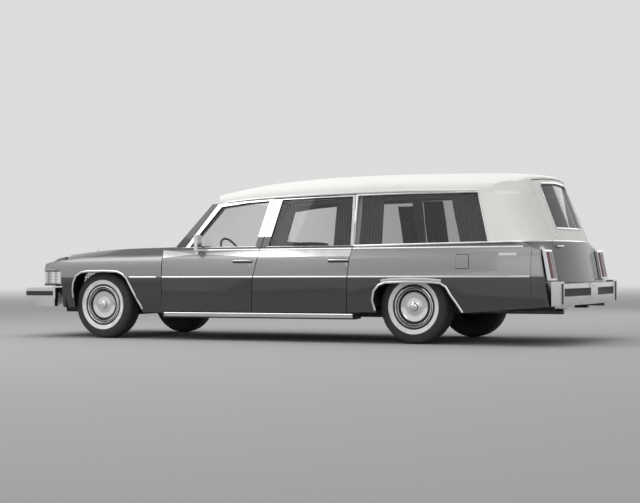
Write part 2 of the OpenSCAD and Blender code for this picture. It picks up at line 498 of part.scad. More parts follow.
// Bumper plan line: y of the bumper's face at x, measured from its middle
module bumper_bar(y_mid, dir, half, turn, back, z0, z1, thick) {
    // dir is -1 at the front and 1 at the rear; turn is how deep the curve round the corner is
    outer = [[0, 0], [400, 8], [700, 30], [half - 90, 30 + turn * 0.2], [half - 20, 30 + turn * 0.5], [half, 30 + turn], [half, back]];
    inner = [for (p = outer) [max(0, p[0] - thick * (p[0] > 700 ? 1 : p[0] / 700)), min(back, p[1] + thick)]];
    line = concat(outer, [for (i = [len(inner) - 1:-1:0]) inner[i]]);
    translate([0, y_mid, z0]) both_sides() linear_extrude(z1 - z0) polygon([for (p = line) [p[0], -dir * p[1]]]);
}
shelf_z = 548;                         // top of the shelf between the front bumper and the grille
module front_bumper() color(chrome) difference() {
    union() {
        bumper_bar(y_front, -1, hw - 14, 200, 530, 430, 548, 60);
        bumper_bar(y_front + 60, -1, hw - 18, 200, 460, 345, 432, 60);
        both_sides() block([380, y_front + 40, 345], [430, y_fa - 810, 480]);
        // shelf that closes the space between bumper and grille
        block([-hw + 140, y_front + 50, shelf_z - 12], [hw - 140, y_nose + 55, shelf_z]);
    }
    plate_holes(y_front + 20, 500);
}
plate_pitch = 178;                     // spacing of the number plate's screws
plate_hole_r = 3.4;                    // radius of a plate screw's hole
module plate_holes(y, z) {
    for (x = [-plate_pitch / 2, plate_pitch / 2])
        translate([x, y, z]) rotate([90, 0, 0]) cylinder(h = 40, r = plate_hole_r, center = true);
}
module rear_bumper() color(chrome) difference() {
    union() {
        bumper_bar(y_rear - 20, 1, hw - 26, 66, 118, 385, 470, 60);
        bumper_bar(y_rear - 20, 1, hw - 26, 66, 118, 545, 590, 60);
        bumper_bar(y_rear - 56, 1, hw - 60, 30, 82, 465, 550, 30);
        // plate housing in the middle, guards at the ends, brackets to the rails
        block([-115, y_rear - 84, 395], [115, y_rear - 12, 582]);
        block([-125, y_rear - 84, 580], [125, y_rear, 594]);
        both_sides() {
            block([hw - 168, y_rear - 142, 383], [hw - 34, y_rear - 58, 612]);
            block([500, y_ra + 1330, 352], [550, y_rear - 60, 424]);
        }
    }
    plate_holes(y_rear - 12, 530);
}
module tail_lamps() color([0.55, 0.05, 0.05]) both_sides()
    across(hw - 250, hw - 40, [[rear_y(914) - 56.5, 914], [rear_y(620) - 56.5, 620], [rear_y(620) - 22, 620],
        [rear_y(640) - 20, 640], [rear_y(900) - 26, 900], [rear_y(914) - 32, 914]]);

// ---- Doors ----
skin_t = 34;                           // depth of a door's outer shell, over its narrower inner box
module door_section(x0) along(y_door1 - 10, y_c + 40, [[hw - 10, sill_top], [hw - 3, 450], [hw, 662], [hw - 4, 690],
    [hw - 18, 840], [hw - 28, 868], [hw - 45, 948], [x_belt, belt_z], [x_belt - frame_t, belt_z],
    [min(x0, x_belt - frame_t - 4), belt_z - 20], [x0, belt_z - 40], [x0, sill_top]]);
module door_body(line, inner, window) difference() {
    union() {
        intersection() { door_section(hw - skin_t - 12); across(500, hw + 20, line); }
        intersection() { door_section(hw - door_t); across(500, hw + 20, inner); }
        intersection() {
            along(y_door1 - 10, y_c + 40, [[x_belt - 1, belt_z - 6], [x_belt, belt_z], [side_x(drip_z + 24), drip_z + 24],
                [side_x(drip_z + 24) - frame_t, drip_z + 24], [x_belt - frame_t, belt_z], [x_belt - frame_t, belt_z - 6]]);
            across(500, hw + 20, line);
        }
    }
    across(500, hw + 20, window);
}
mirror_y = y_fa + 1262;                // middle of the door mirror
module door_mirror() {
    across(hw - 60, hw + 30, [[mirror_y - 10, 905], [mirror_y + 35, 905], [mirror_y + 30, 930], [mirror_y - 5, 930]]);
    translate([hw + 5, mirror_y + 12, 1018]) intersection() {
        scale(1) rotate([0, 0, 0]) cube([88, 44, 176], center = true);
        rotate([90, 0, 0]) cylinder(h = 60, r = 92, center = true);
    }
    rod([hw, mirror_y + 12, 915], [hw, mirror_y + 12, 960], 12);
}
module front_door() {
    door_body(front_door_line(0), front_door_line(-12), front_window(0));
    door_mirror();
}
module door_front_left() color(paint) front_door();
module door_front_right() color(paint) mirror([1, 0, 0]) front_door();
module door_rear_left() color(paint) door_body(rear_door_line(0), rear_door_line(-12), rear_window(0));
module door_rear_right() color(paint) mirror([1, 0, 0]) door_body(rear_door_line(0), rear_door_line(-12), rear_window(0));
glass_in = 16;                         // depth of the door glass inside the frame's face
module glass_front_left() color([0.55, 0.62, 0.64, 0.4]) side_glass(front_window(-seat_gap), glass_in);
module glass_front_right() color([0.55, 0.62, 0.64, 0.4]) mirror([1, 0, 0]) side_glass(front_window(-seat_gap), glass_in);
module glass_rear_left() color([0.55, 0.62, 0.64, 0.4]) side_glass(rear_window(-seat_gap), glass_in);
module glass_rear_right() color([0.55, 0.62, 0.64, 0.4]) mirror([1, 0, 0]) side_glass(rear_window(-seat_gap), glass_in);
gate_t = 48;                           // thickness of the rear door
module rear_door() color(vinyl) resize([0, 0, 0]) difference() {
    union() {
        intersection() {
            gate_slab(0, 20);
            gate_prism(0);
        }
        intersection() {
            gate_slab(18, gate_t);
            gate_prism(-14);
        }
    }
    along(y_gate - 500, y_gate + 100, gate_window());
}
module rear_door_glass() color([0.55, 0.62, 0.64, 0.4]) resize([0, 0, 0]) intersection() {
    gate_slab(14, 14 + glass_t);
    along(y_gate - 500, y_gate + 100, [for (p = gate_window()) [p[0] * (1 - seat_gap / 398), p[1] + (p[1] > 1300 ? -seat_gap : seat_gap)]]);
}
fuel_y = y_ra + 485;                   // front edge of the fuel door
fuel_z = 742;                          // lower edge of the fuel door
fuel_w = 130;                          // size of the fuel door
module fuel_door() color(paint) intersection() {
    along(fuel_y, fuel_y + fuel_w, [[side_x(fuel_z), fuel_z], [side_x(840), 840], [side_x(fuel_z + fuel_w), fuel_z + fuel_w],
        [side_x(fuel_z + fuel_w) - 8, fuel_z + fuel_w], [side_x(840) - 8, 840], [side_x(fuel_z) - 8, fuel_z]]);
    block([hw - 100, fuel_y, fuel_z], [hw + 10, fuel_y + fuel_w, fuel_z + fuel_w]);
}

// ---- Cabin ----
column_tilt = 28;                      // slope of the steering column
wheel_c = [400, y_fa + 1346, 905];     // middle of the steering wheel
module dashboard() color(cloth) {
    across(-ring_x, ring_x, [[cowl_y1, 760], [cowl_y1, belt_z - 20], [cowl_y1 + 50, belt_z - 8],
        [cowl_y1 + 140, belt_z - 40], [cowl_y1 + 150, 820], [cowl_y1 + 90, 760]]);
    translate(wheel_c) rotate([90 + column_tilt, 0, 0]) translate([0, 0, 26 + run_gap]) cylinder(h = 330, r = 32);
}
module steering_wheel() color([0.1, 0.1, 0.11]) translate(wheel_c) rotate([90 + column_tilt, 0, 0]) {
    rotate_extrude($fn = 64) translate([188, 0]) circle(r = 12, $fn = 16);
    cylinder(h = 26, r = 42);
    for (a = [0, 180]) rotate([0, 0, a]) translate([30, -22, 4]) cube([150, 44, 12]);
}
seat_w = hw - 360;                     // width of each front seat
seat_y = y_fa + 1330;                  // front of the front seat's cushion
module front_seat() color(cloth) {
    for (s = [-1, 1]) {
        x0 = s * (seat_w + 30) / 2 - seat_w / 2;
        block([x0, seat_y, 560], [x0 + seat_w, seat_y + 520, 680]);
        across(x0, x0 + seat_w, [[seat_y + 520.3, 600], [seat_y + 500, 690], [seat_y + 575, 1040], [seat_y + 690, 1040],
            [seat_y + 665, 600]]);
    }
    block([-seat_w + 10, seat_y + 60, floor_z + 172], [seat_w - 10, seat_y + 640, 559.7]);
    both_sides() block([300, seat_y + 100, floor_z + 12], [400, seat_y + 600, floor_z + 172]);
}
load_y0 = y_b + 130;                   // front of the load floor
load_z = 640;                          // top of the load floor
pin_x = 200;                           // half the spacing of the bier-pin holes
pin_y = y_ra + 900;                    // where the bier-pin holes lie
pin_r = 6.5;                           // radius of a bier-pin hole
module load_floor() color([0.36, 0.25, 0.16]) {
    w = house_x - 18;
    y1 = y_ra + 1330;
    difference() {
        block([-w, load_y0, floor_z + 12], [w, y1, load_z]);
        block([-w + 16, load_y0 + 16, floor_z], [w - 16, y1 + 1, load_z - 20]);
        block([-w - 1, kick_y - 2, floor_z], [w + 1, y1 + 1, rear_floor_z + 12]);
        block([-170, load_y0 - 1, floor_z], [170, kick_y, floor_z + 162]);
        for (x = [-pin_x, pin_x]) translate([x, pin_y, load_z - 30]) cylinder(h = 40, r = pin_r);
    }
    // rollers at the back and the skid strips between them
    for (x = [-420, 420]) block([x - 20, load_y0 + 200, load_z], [x + 20, y1 - 140, load_z + 8]);
    for (x = [-380, 0, 380]) block([x - 64, y1 - 82, load_z - 1], [x + 64, y1 - 38, load_z + 14]);
    for (x = [-380, 0, 380]) translate([x - 60, y1 - 60, load_z + 14]) rotate([0, 90, 0]) cylinder(h = 120, r = 18);
}
curtain_t = 22;                        // depth of a hanging curtain
module curtain(y0, y1, slope0, slope1, in, z1) {
    // A curtain inside a side window, from belt to z1, its outer face "in" behind the panel's face
    z0 = belt_z + 2;
    intersection() {
        along(y0 - 200, y1 + 200, [[side_x(z0) - in, z0], [side_x(z1) - in, z1], [side_x(z1) - in - curtain_t, z1],
            [side_x(z0) - in - curtain_t, z0]]);
        across(400, hw, [[y0, z0], [y0 + slope0, z1], [y1 + slope1, z1], [y1, z0]]);
    }
}
module curtains() color(cloth) both_sides() {
    curtain(y_c + 40, y_c + 290, -10, -20, panel_t + 0.5, drip_z - 6);
    curtain(y_ra + 500, y_ra + 800, -140, -140, panel_t + 0.5, drip_z - 12);
}
module door_curtains() {
    curtain(b_line(belt_z) + 64, b_line(belt_z) + 260, 110, 90, frame_t + 0.5, drip_z - 52);
    curtain(y_c - 250, y_c - 64, -14, -26, frame_t + 0.5, drip_z - 52);
}
module curtains_left_door() color(cloth) door_curtains();
module curtains_right_door() color(cloth) mirror([1, 0, 0]) door_curtains();

// ---- Running gear ----
module powertrain() color(steel) {
    block([-300, y_fa - 280, 320], [300, y_fa + 450, 800]);
    translate([0, y_fa + 40, 799]) cylinder(h = 62, r = 190);
    block([-118, y_fa + 449, 330], [118, y_fa + 1070, 505]);
    block([-60, y_fa + 962, 310], [60, y_fa + 1018, 331]);
    rod([0, y_fa + 1069, 385], [0, y_ra - 135 - run_gap, 385], 36);
}
module rear_axle() color(steel) {
    x1 = track_r / 2 + 70;
    rod([-x1 + 95, y_ra, tyre_r], [x1 - 95, y_ra, tyre_r], 40);
    translate([-100, y_ra, tyre_r]) rotate([0, 90, 0]) cylinder(h = 200, r = 120);
    rod([0, y_ra, 385], [0, y_ra - 135, 385], 50);
    both_sides() {
        rod([x1 - 96, y_ra, tyre_r], [x1, y_ra, tyre_r], spindle_r);
        translate([x1 - 130, y_ra, tyre_r]) rotate([0, 90, 0]) cylinder(h = 34, r = 140);
        across(rail_x + rail_w, rail_x + rail_w + 60, [[y_ra - 660, 280], [y_ra - 620, 296], [y_ra, 304], [y_ra + 590, 300],
            [y_ra + 640, 330], [y_ra + 640, 410], [y_ra + 610, 410], [y_ra + 600, 326], [y_ra, 328], [y_ra - 625, 322],
            [y_ra - 630, 350], [y_ra - 660, 350]]);
        block([rail_x + rail_w, y_ra - 50, 320], [rail_x + rail_w + 60, y_ra + 50, 340]);
    }
}
kp = [track_f / 2 - kingpin_in, y_fa];  // steering axis, seen from above
arm_low = 232;                         // underside of the lower arm's eye
arm_high = 500;                        // underside of the upper arm's eye
arm_t = 24;                            // thickness of an arm
module front_suspension() color(steel) both_sides() {
    for (a = [[arm_low, 130], [arm_high, 90]]) {
        linear_arm(a[0], a[1]);
    }
    // spring tower between the rail and the arms
    block([400, y_fa - 60, 390], [450, y_fa + 60, arm_high + arm_t]);
}
module linear_arm(z, root) {
    x0 = z < 300 ? 400 : 440;
    translate([0, 0, z]) linear_extrude(arm_t) polygon([[x0, y_fa - root], [kp[0], y_fa - 34], [kp[0], y_fa + 34], [x0, y_fa + root]]);
    translate([kp[0], y_fa, z]) cylinder(h = arm_t, r = 34);
}
module knuckle() {
    z0 = arm_low + arm_t + run_gap;
    z1 = arm_high - run_gap;
    translate([kp[0], kp[1], z0]) cylinder(h = z1 - z0, r = 30);
    rod([kp[0], y_fa, tyre_r], [track_f / 2 + 70, y_fa, tyre_r], spindle_r);
    translate([kp[0] + 6, y_fa, tyre_r]) rotate([0, 90, 0]) cylinder(h = 26, r = 98);
    block([kp[0] - 20, y_fa + 20, 300], [kp[0] + 10, y_fa + 150, 330]);
}
module knuckle_left() color(steel) knuckle();
module knuckle_right() color(steel) mirror([1, 0, 0]) knuckle();
module tyre(track, y) {
    w = tyre_w / 2;
    translate([track / 2, y, tyre_r]) rotate([0, 90, 0]) rotate_extrude($fn = 96)
        polygon([[rim_r, -w * 0.72], [rim_r + 16, -w * 0.84], [rim_r + 60, -w * 0.98], [rim_r + 95, -w], [tyre_r - 30, -w * 0.94],
            [tyre_r - 6, -w * 0.78], [tyre_r, -w * 0.60], [tyre_r, w * 0.60], [tyre_r - 6, w * 0.78], [tyre_r - 30, w * 0.94],
            [rim_r + 95, w], [rim_r + 60, w * 0.98], [rim_r + 16, w * 0.84], [rim_r, w * 0.72]]);
}
module wheel(track, y) {
    w = tyre_w / 2;
    translate([track / 2, y, tyre_r]) rotate([0, 90, 0]) rotate_extrude($fn = 96)
        polygon([[spindle_r + run_gap, 8], [spindle_r + 30, 8], [150, 26], [172, 30], [176, -w * 0.74], [190, -w * 0.80], [rim_r + 12, -w * 0.84],
            [rim_r, -w * 0.72], [rim_r, w * 0.72], [rim_r + 12, w * 0.86], [196, w * 0.92], [170, w * 0.70], [140, w * 0.62],
            [spindle_r + 20, w * 0.86], [spindle_r + run_gap, w * 0.86]]);
}
module tyre_front_left() color("#151516") tyre(track_f, y_fa);
module tyre_front_right() color("#151516") mirror([1, 0, 0]) tyre(track_f, y_fa);
module tyre_rear_left() color("#151516") tyre(track_r, y_ra);
module tyre_rear_right() color("#151516") mirror([1, 0, 0]) tyre(track_r, y_ra);
module wheel_front_left() color(chrome) wheel(track_f, y_fa);
module wheel_front_right() color(chrome) mirror([1, 0, 0]) wheel(track_f, y_fa);
module wheel_rear_left() color(chrome) wheel(track_r, y_ra);
module wheel_rear_right() color(chrome) mirror([1, 0, 0]) wheel(track_r, y_ra);
module exhaust() color(steel) resize([0, 0, 0]) {
    pipe([[250, y_fa + 460, 340], [250, y_fa + 2200, 340], [250, kick_y + 24, 340], [330, y_ra - 130, 480],
        [330, y_ra + 150, 480], [420, y_ra + 520, 316], [420, y_ra + 1380, 316]], 24);
    block([180, y_fa + 2300, 318], [330, y_fa + 2900, 366]);
    block([235, y_fa + 1962, 310], [265, y_fa + 2018, 330]);
}
module fuel_tank() color(steel)
    block([-420, y_ra + 740, 325], [350, y_ra + 1210, 420]);

chassis_frame();
body_shell();
floor_pan();
roof();
front_fenders();
hood();
grille();
headlamps();
front_bumper();
rear_bumper();
tail_lamps();
fixed_glass();
door_front_left();
door_front_right();
door_rear_left();
door_rear_right();
glass_front_left();
glass_front_right();
glass_rear_left();
glass_rear_right();
rear_door();
rear_door_glass();
fuel_door();
dashboard();
steering_wheel();
front_seat();
load_floor();
curtains();
curtains_left_door();
curtains_right_door();
powertrain();
rear_axle();
front_suspension();
knuckle_left();
knuckle_right();
tyre_front_left();
tyre_front_right();
tyre_rear_left();
tyre_rear_right();
wheel_front_left();
wheel_front_right();
wheel_rear_left();
wheel_rear_right();
exhaust();
fuel_tank();
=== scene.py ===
# Hearse: a late-1970s full-size coach. Metres, +Z up; the car faces -Y and its left side is +X.
import bpy, bmesh, math
from mathutils import Vector, Matrix
from mathutils.bvhtree import BVHTree


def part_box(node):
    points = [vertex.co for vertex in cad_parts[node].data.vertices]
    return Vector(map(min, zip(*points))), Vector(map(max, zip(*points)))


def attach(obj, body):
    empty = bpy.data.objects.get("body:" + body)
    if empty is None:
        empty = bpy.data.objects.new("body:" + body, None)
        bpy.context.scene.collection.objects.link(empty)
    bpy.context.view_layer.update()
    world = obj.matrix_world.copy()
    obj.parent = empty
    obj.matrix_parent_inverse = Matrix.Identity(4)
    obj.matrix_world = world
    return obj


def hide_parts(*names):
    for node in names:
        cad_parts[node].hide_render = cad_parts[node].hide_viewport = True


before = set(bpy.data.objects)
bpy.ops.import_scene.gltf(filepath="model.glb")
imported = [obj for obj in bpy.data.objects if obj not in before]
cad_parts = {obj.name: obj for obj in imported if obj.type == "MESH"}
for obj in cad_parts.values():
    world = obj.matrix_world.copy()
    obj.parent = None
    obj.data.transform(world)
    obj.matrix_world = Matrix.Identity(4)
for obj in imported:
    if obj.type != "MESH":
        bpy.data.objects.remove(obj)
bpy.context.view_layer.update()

# ---------------------------------------------------------------- studio
# A wide pale floor under a pale sky, two big soft boxes overhead and a softer one on the near side.
# The camera stands low, level with the door handles, off the left rear quarter.
floor_mesh = bpy.data.meshes.new("studio_floor")
floor_mesh.from_pydata([(-90, -90, 0), (90, -90, 0), (90, 90, 0), (-90, 90, 0)], [], [(0, 1, 2, 3)])
studio_floor = bpy.data.objects.new("studio_floor", floor_mesh)
bpy.context.scene.collection.objects.link(studio_floor)

for name, place, aim, size, power in (
        ("key_box", (5.0, -5.5, 7.5), (0, -0.3, 0.7), (7.0, 7.0), 330),
        ("top_box", (0.5, 0.5, 8.5), (0, 0, 0.9), (4.5, 10.0), 190),
        ("near_box", (11.0, 3.0, 5.0), (0, 0.6, 0.9), (6.0, 4.0), 60),
        ("far_box", (-9.0, 2.0, 5.0), (0, 0, 0.9), (6.0, 4.0), 120)):
    lamp = bpy.data.lights.new(name, "AREA")
    lamp.shape, lamp.size, lamp.size_y, lamp.energy = "RECTANGLE", size[0], size[1], power
    stand = bpy.data.objects.new(name, lamp)
    stand.location = place
    stand.rotation_mode = "QUATERNION"
    stand.rotation_quaternion = (Vector(aim) - Vector(place)).to_track_quat("-Z", "Y")
    bpy.context.scene.collection.objects.link(stand)

sky_grey = 0.72
bpy.context.scene.view_settings.view_transform = "Standard"
sky = bpy.data.worlds.new("studio_sky")
sky.use_nodes = True
sky.node_tree.nodes["Background"].inputs["Color"].default_value = (sky_grey, sky_grey, sky_grey, 1)
sky.node_tree.nodes["Background"].inputs["Strength"].default_value = 1.0
bpy.context.scene.world = sky

turn, tip, roll = math.radians(116.88), math.radians(-0.49), math.radians(-0.34)
back = Vector((math.sin(turn) * math.cos(tip), -math.cos(turn) * math.cos(tip), math.sin(tip)))
right = Vector((math.cos(turn), math.sin(turn), 0))
up = back.cross(right)
right, up = right * math.cos(roll) + up * math.sin(roll), up * math.cos(roll) - right * math.sin(roll)
lens = bpy.data.cameras.new("camera")
lens.sensor_width, lens.lens, lens.clip_end = 36.0, 85.5, 400
camera = bpy.data.objects.new("camera", lens)
camera.matrix_world = Matrix((
    (right.x, up.x, back.x, 14.585), (right.y, up.y, back.y, 7.525), (right.z, up.z, back.z, 0.787), (0, 0, 0, 1)))
bpy.context.scene.collection.objects.link(camera)
bpy.context.scene.camera = camera


# ---------------------------------------------------------------- rear body and pillars
# Welded steel: the rear quarters, the ring of pillars, the sills and the cowl in one.
# Sprayed in a metallic coach enamel under clear lacquer; above the belt the quarters are
# covered in padded grained vinyl, glued down and edged with a bright moulding.
class Level:
    """One number or colour on a finish's node graph."""
    def __init__(self, finish, socket):
        self.finish, self.socket = finish, socket

    def maths(self, kind, a, b=None):
        values = {0: a} if b is None else {0: a, 1: b}
        return self.finish.node("ShaderNodeMath", {"operation": kind}, values)["Value"]

    def __add__(self, other): return self.maths("ADD", self, other)
    def __radd__(self, other): return self.maths("ADD", other, self)
    def __sub__(self, other): return self.maths("SUBTRACT", self, other)
    def __rsub__(self, other): return self.maths("SUBTRACT", other, self)
    def __mul__(self, other): return self.maths("MULTIPLY", self, other)
    def __rmul__(self, other): return self.maths("MULTIPLY", other, self)
    def __truediv__(self, other): return self.maths("DIVIDE", self, other)
    def __rtruediv__(self, other): return self.maths("DIVIDE", other, self)
    def __pow__(self, other): return self.maths("POWER", self, other)
    def __gt__(self, other): return self.maths("GREATER_THAN", self, other)
    def __lt__(self, other): return self.maths("LESS_THAN", self, other)

    def do(self, kind, other=None): return self.maths(kind, self, other)

    def ramp(self, low, high):
        """0 below low, 1 above high, and a smooth step between."""
        return self.finish.node("ShaderNodeMapRange", {"interpolation_type": "SMOOTHSTEP"},
                                {"Value": self, "From Min": low, "From Max": high})["Result"]


class Finish:
    """A material: its Principled shader, and the one way in which nodes are added."""
    def __init__(self, name, colour, roughness, metallic=0.0, **fixed):
        self.material = bpy.data.materials.new(name)
        self.material.use_nodes = True
        self.tree = self.material.node_tree
        self.shader = self.tree.nodes["Principled BSDF"]
        self.set("Base Color", (*colour, 1) if isinstance(colour, tuple) else colour)
        self.set("Roughness", roughness)
        self.set("Metallic", metallic)
        for key, value in fixed.items():
            self.set(key.replace("_", " "), value)
        self.place = self.node("ShaderNodeTexCoord", {}, {})["Object"]
        xyz = self.node("ShaderNodeSeparateXYZ", {}, {0: self.place})
        self.x, self.y, self.z = xyz["X"], xyz["Y"], xyz["Z"]

    def node(self, kind, settings, values):
        made = self.tree.nodes.new(kind)
        for key, value in settings.items():
            if key == "stops":
                while len(made.color_ramp.elements) < len(value):
                    made.color_ramp.elements.new(0.5)
                for element, (at, grey) in zip(made.color_ramp.elements, value):
                    element.position, element.color = at, (grey, grey, grey, 1)
            else:
                setattr(made, key, value)
        for key, value in values.items():
            if isinstance(value, Level):
                self.tree.links.new(value.socket, made.inputs[key])
            else:
                made.inputs[key].default_value = value
        return {**{s.name: Level(self, s) for s in made.outputs},
                **{i: Level(self, s) for i, s in enumerate(made.outputs)}}

    def set(self, key, value):
        if isinstance(value, Level):
            self.tree.links.new(value.socket, self.shader.inputs[key])
        else:
            self.shader.inputs[key].default_value = value

    def noise(self, scale, detail=3.0, rough=0.55, stretch=(1, 1, 1)):
        where = self.node("ShaderNodeVectorMath", {"operation": "MULTIPLY"}, {0: self.place, 1: stretch})["Vector"]
        return self.node("ShaderNodeTexNoise", {}, {"Vector": where, "Scale": scale, "Detail": detail,
                                                    "Roughness": rough})[0]

    def cells(self, scale, feature="F1", out="Distance", stretch=(1, 1, 1)):
        where = self.node("ShaderNodeVectorMath", {"operation": "MULTIPLY"}, {0: self.place, 1: stretch})["Vector"]
        return self.node("ShaderNodeTexVoronoi", {"feature": feature}, {"Vector": where, "Scale": scale})[out]

    def mix(self, share, a, b):
        a, b = [(*c, 1) if isinstance(c, tuple) and len(c) == 3 else c for c in (a, b)]
        return self.node("ShaderNodeMix", {"data_type": "RGBA"}, {0: share, 6: a, 7: b})[2]

    def colour(self, share, a, b):
        self.set("Base Color", self.mix(share, a, b))

    def bump(self, *layers):
        """Layers of (height, strength, distance in metres), one upon another."""
        below = None
        for height, strength, depth in layers:
            values = {"Height": height, "Strength": strength, "Distance": depth}
            if below is not None:
                values["Normal"] = below
            below = self.node("ShaderNodeBump", {}, values)["Normal"]
        self.set("Normal", below)
        return self


def enamel(name, painted_reflection_grey, dark):
    """Metallic enamel in a dark grey, with a lighter grey painted on between the mid and belt mouldings wherever the
    panel faces sideways: a painted reflection, so faces turned up, as on the hood and fender tops, keep the dark grey.
    Fine bright flake, faint orange peel, and a thin road film low on the panels."""
    f = Finish(name, painted_reflection_grey, 0.34, 0.62, Coat_Weight=1.0, Coat_Roughness=0.045, Specular_IOR_Level=0.5)
    flake = f.cells(900.0, out="Color")
    grain = f.node("ShaderNodeSeparateColor", {}, {0: flake})[0]
    cloud = f.noise(1.3, 2.0)
    film = (1 - f.z.ramp(0.22, 0.40)) * f.noise(9.0, 5.0).ramp(0.35, 0.7)
    facing = f.node("ShaderNodeSeparateXYZ", {}, {0: f.node("ShaderNodeTexCoord", {},
        {})["Normal"]})["X"].do("ABSOLUTE")
    # painted reflection: the lighter grey only on faces turned sideways between the mid and belt mouldings; faces
    # turned up keep the dark grey
    band = facing.ramp(0.70, 0.93) * f.z.ramp(0.655, 0.668) * (1 - f.z.ramp(0.938, 0.950))
    tone_with_painted_reflection = f.mix(band, dark, painted_reflection_grey)
    tone_with_painted_reflection = f.mix(0.36 * (grain * 0.6 + cloud * 0.4), tone_with_painted_reflection, tuple(1.5 * c for c in dark))
    f.set("Base Color", f.mix(film * 0.12, tone_with_painted_reflection, (0.16, 0.15, 0.14)))
    f.set("Roughness", 0.28 + grain * 0.10 + film * 0.15)
    f.bump((f.noise(260.0, 1.0), 0.05, 0.0004), (f.noise(3.0, 1.0), 0.04, 0.004))
    return f


# the first grey is the painted reflection on the sides, the second is the enamel's own dark grey
coach_paint = enamel("coach_enamel", (0.33, 0.335, 0.34), (0.042, 0.043, 0.045))
roof_vinyl = Finish("padded_vinyl", (0.80, 0.79, 0.76), 0.5, 0.0, Specular_IOR_Level=0.45, Sheen_Weight=0.12)
hide = roof_vinyl.cells(210.0, "DISTANCE_TO_EDGE", "Distance", (1, 0.8, 1.2))
shade = roof_vinyl.noise(2.2, 4.0)
roof_vinyl.set("Base Color", roof_vinyl.mix(shade * 0.6 + (1 - hide.ramp(0.0, 0.09)) * 0.4,
    (0.845, 0.835, 0.805), (0.70, 0.69, 0.66)))
roof_vinyl.set("Roughness", 0.42 + shade * 0.16 + (1 - hide.ramp(0.0, 0.1)) * 0.12)
roof_vinyl.bump((hide.ramp(0.0, 0.12), 0.45, 0.0007), (roof_vinyl.noise(700.0, 2.0), 0.15, 0.0002),
                (roof_vinyl.noise(5.0, 2.0), 0.10, 0.006))


def put(piece, body, stands_for=()):
    """Links a finished piece to the car: its body, the solids that it stands for."""
    if piece.name not in bpy.context.scene.collection.objects:
        bpy.context.scene.collection.objects.link(piece)
    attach(piece, body)
    if stands_for:
        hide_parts(*stands_for)
    return piece


def pressed(node, name, body, finishes, angle=30, edge=0.003, paint_by=None, cut=()):
    """A pressed or moulded piece with the exact shape of its solid, its flats rejoined and its edges rounded."""
    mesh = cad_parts[node].data.copy()
    mesh.name = name
    mesh.materials.clear()
    for finish in finishes:
        mesh.materials.append(finish.material)
    bm = bmesh.new()
    bm.from_mesh(mesh)
    bmesh.ops.remove_doubles(bm, verts=bm.verts, dist=2e-5)
    for place, normal in cut:
        bmesh.ops.bisect_plane(bm, geom=bm.verts[:] + bm.edges[:] + bm.faces[:], plane_co=place,
                               plane_no=normal, dist=1e-5)
    for face in bm.faces:
        face.smooth = True
        face.material_index = paint_by(face.calc_center_median(), face.normal) if paint_by else 0
    bmesh.ops.dissolve_limit(bm, angle_limit=math.radians(0.6), verts=bm.verts, edges=bm.edges,
        delimit={"MATERIAL"})
    for line in bm.edges:
        line.smooth = len(line.link_faces) == 2 and line.calc_face_angle(0) < math.radians(angle)
    bm.to_mesh(mesh)
    bm.free()
    piece = bpy.data.objects.new(name, mesh)
    if edge:
        rounding = piece.modifiers.new("edges", "BEVEL")
        rounding.width, rounding.segments, rounding.limit_method = edge, 2, "ANGLE"
        rounding.angle_limit, rounding.harden_normals = math.radians(angle + 4), True
    return put(piece, body, (node,))


lining = Finish("headlining_cloth", (0.30, 0.30, 0.295), 0.9, Sheen_Weight=0.3)
weave = lining.cells(900.0, "F1", "Distance")
lining.colour(lining.noise(6.0) * 0.5 + weave * 0.5, (0.22, 0.22, 0.215), (0.36, 0.355, 0.345))
lining.bump((weave, 0.4, 0.0004), (lining.noise(14.0), 0.12, 0.003))

backdrop = Finish("studio_paper", (0.40, 0.40, 0.40), 0.9, Specular_IOR_Level=0.0)
reach = (backdrop.x * backdrop.x + backdrop.y * backdrop.y).do("SQRT").ramp(11.0, 42.0)
backdrop.colour(reach, (0.40, 0.40, 0.40), (0.0, 0.0, 0.0))
backdrop.set("Emission Color", backdrop.mix(reach, (0.0, 0.0, 0.0), (sky_grey, sky_grey, sky_grey)))
backdrop.set("Emission Strength", 1.0)
backdrop.bump((backdrop.noise(30.0), 0.02, 0.001))
floor_mesh.materials.append(backdrop.material)

vinyl_edge = (Vector((0, 0.977, 0.968)), Vector((0, -0.031, 1.981)).normalized())


def inward(centre, normal, least=0.4):
    return normal.x * centre.x < 0 and abs(normal.x) > least or centre.y > 2.6 and normal.y < -least


def shell_finish(centre, normal):
    if inward(centre, normal) and centre.z > 0.56:
        return 2
    covered = (centre.y > 0.96 and abs(centre.x) > 0.6 or centre.y > 2.6) and (
        (centre - vinyl_edge[0]).dot(vinyl_edge[1]) > 0)
    return 1 if covered else 0


pressed("body_shell", "rear_body", "body", [coach_paint, roof_vinyl, lining],
        paint_by=shell_finish, cut=[vinyl_edge])

# ---------------------------------------------------------------- roof
# A steel skin under padded vinyl with a sewn welt along each edge; cloth headlining inside.

# The front edge carries the bright windscreen header.
def roof_finish(centre, normal):
    if normal.y < -0.5 and centre.y < -0.62:
        return 2
    return int(normal.z < -0.35 and abs(centre.x) < 0.78)


# ---------------------------------------------------------------- fenders and hood
# Pressed steel in the body's enamel, the hood with a raised middle, hinged at its rear edge.
pressed("front_fenders", "front_fender_pair", "body", [coach_paint])
pressed("hood", "hood_panel", "hood", [coach_paint])

# ---------------------------------------------------------------- bright trim
# Chromium plate over rolled brass and steel strip, clipped to the panels. Every strip follows
# its panel's surface, stops at the panel gaps and rides on the panel that it is clipped to.
bright = Finish("chromium_plate", (0.80, 0.81, 0.82), 0.1, 1.0, Specular_IOR_Level=0.5)
smear = bright.noise(7.0, 4.0)
bright.colour(smear, (0.72, 0.73, 0.74), (0.86, 0.865, 0.87))
bright.set("Roughness", 0.07 + smear * 0.09)
bright.bump((bright.noise(420.0, 2.0), 0.03, 0.0002))


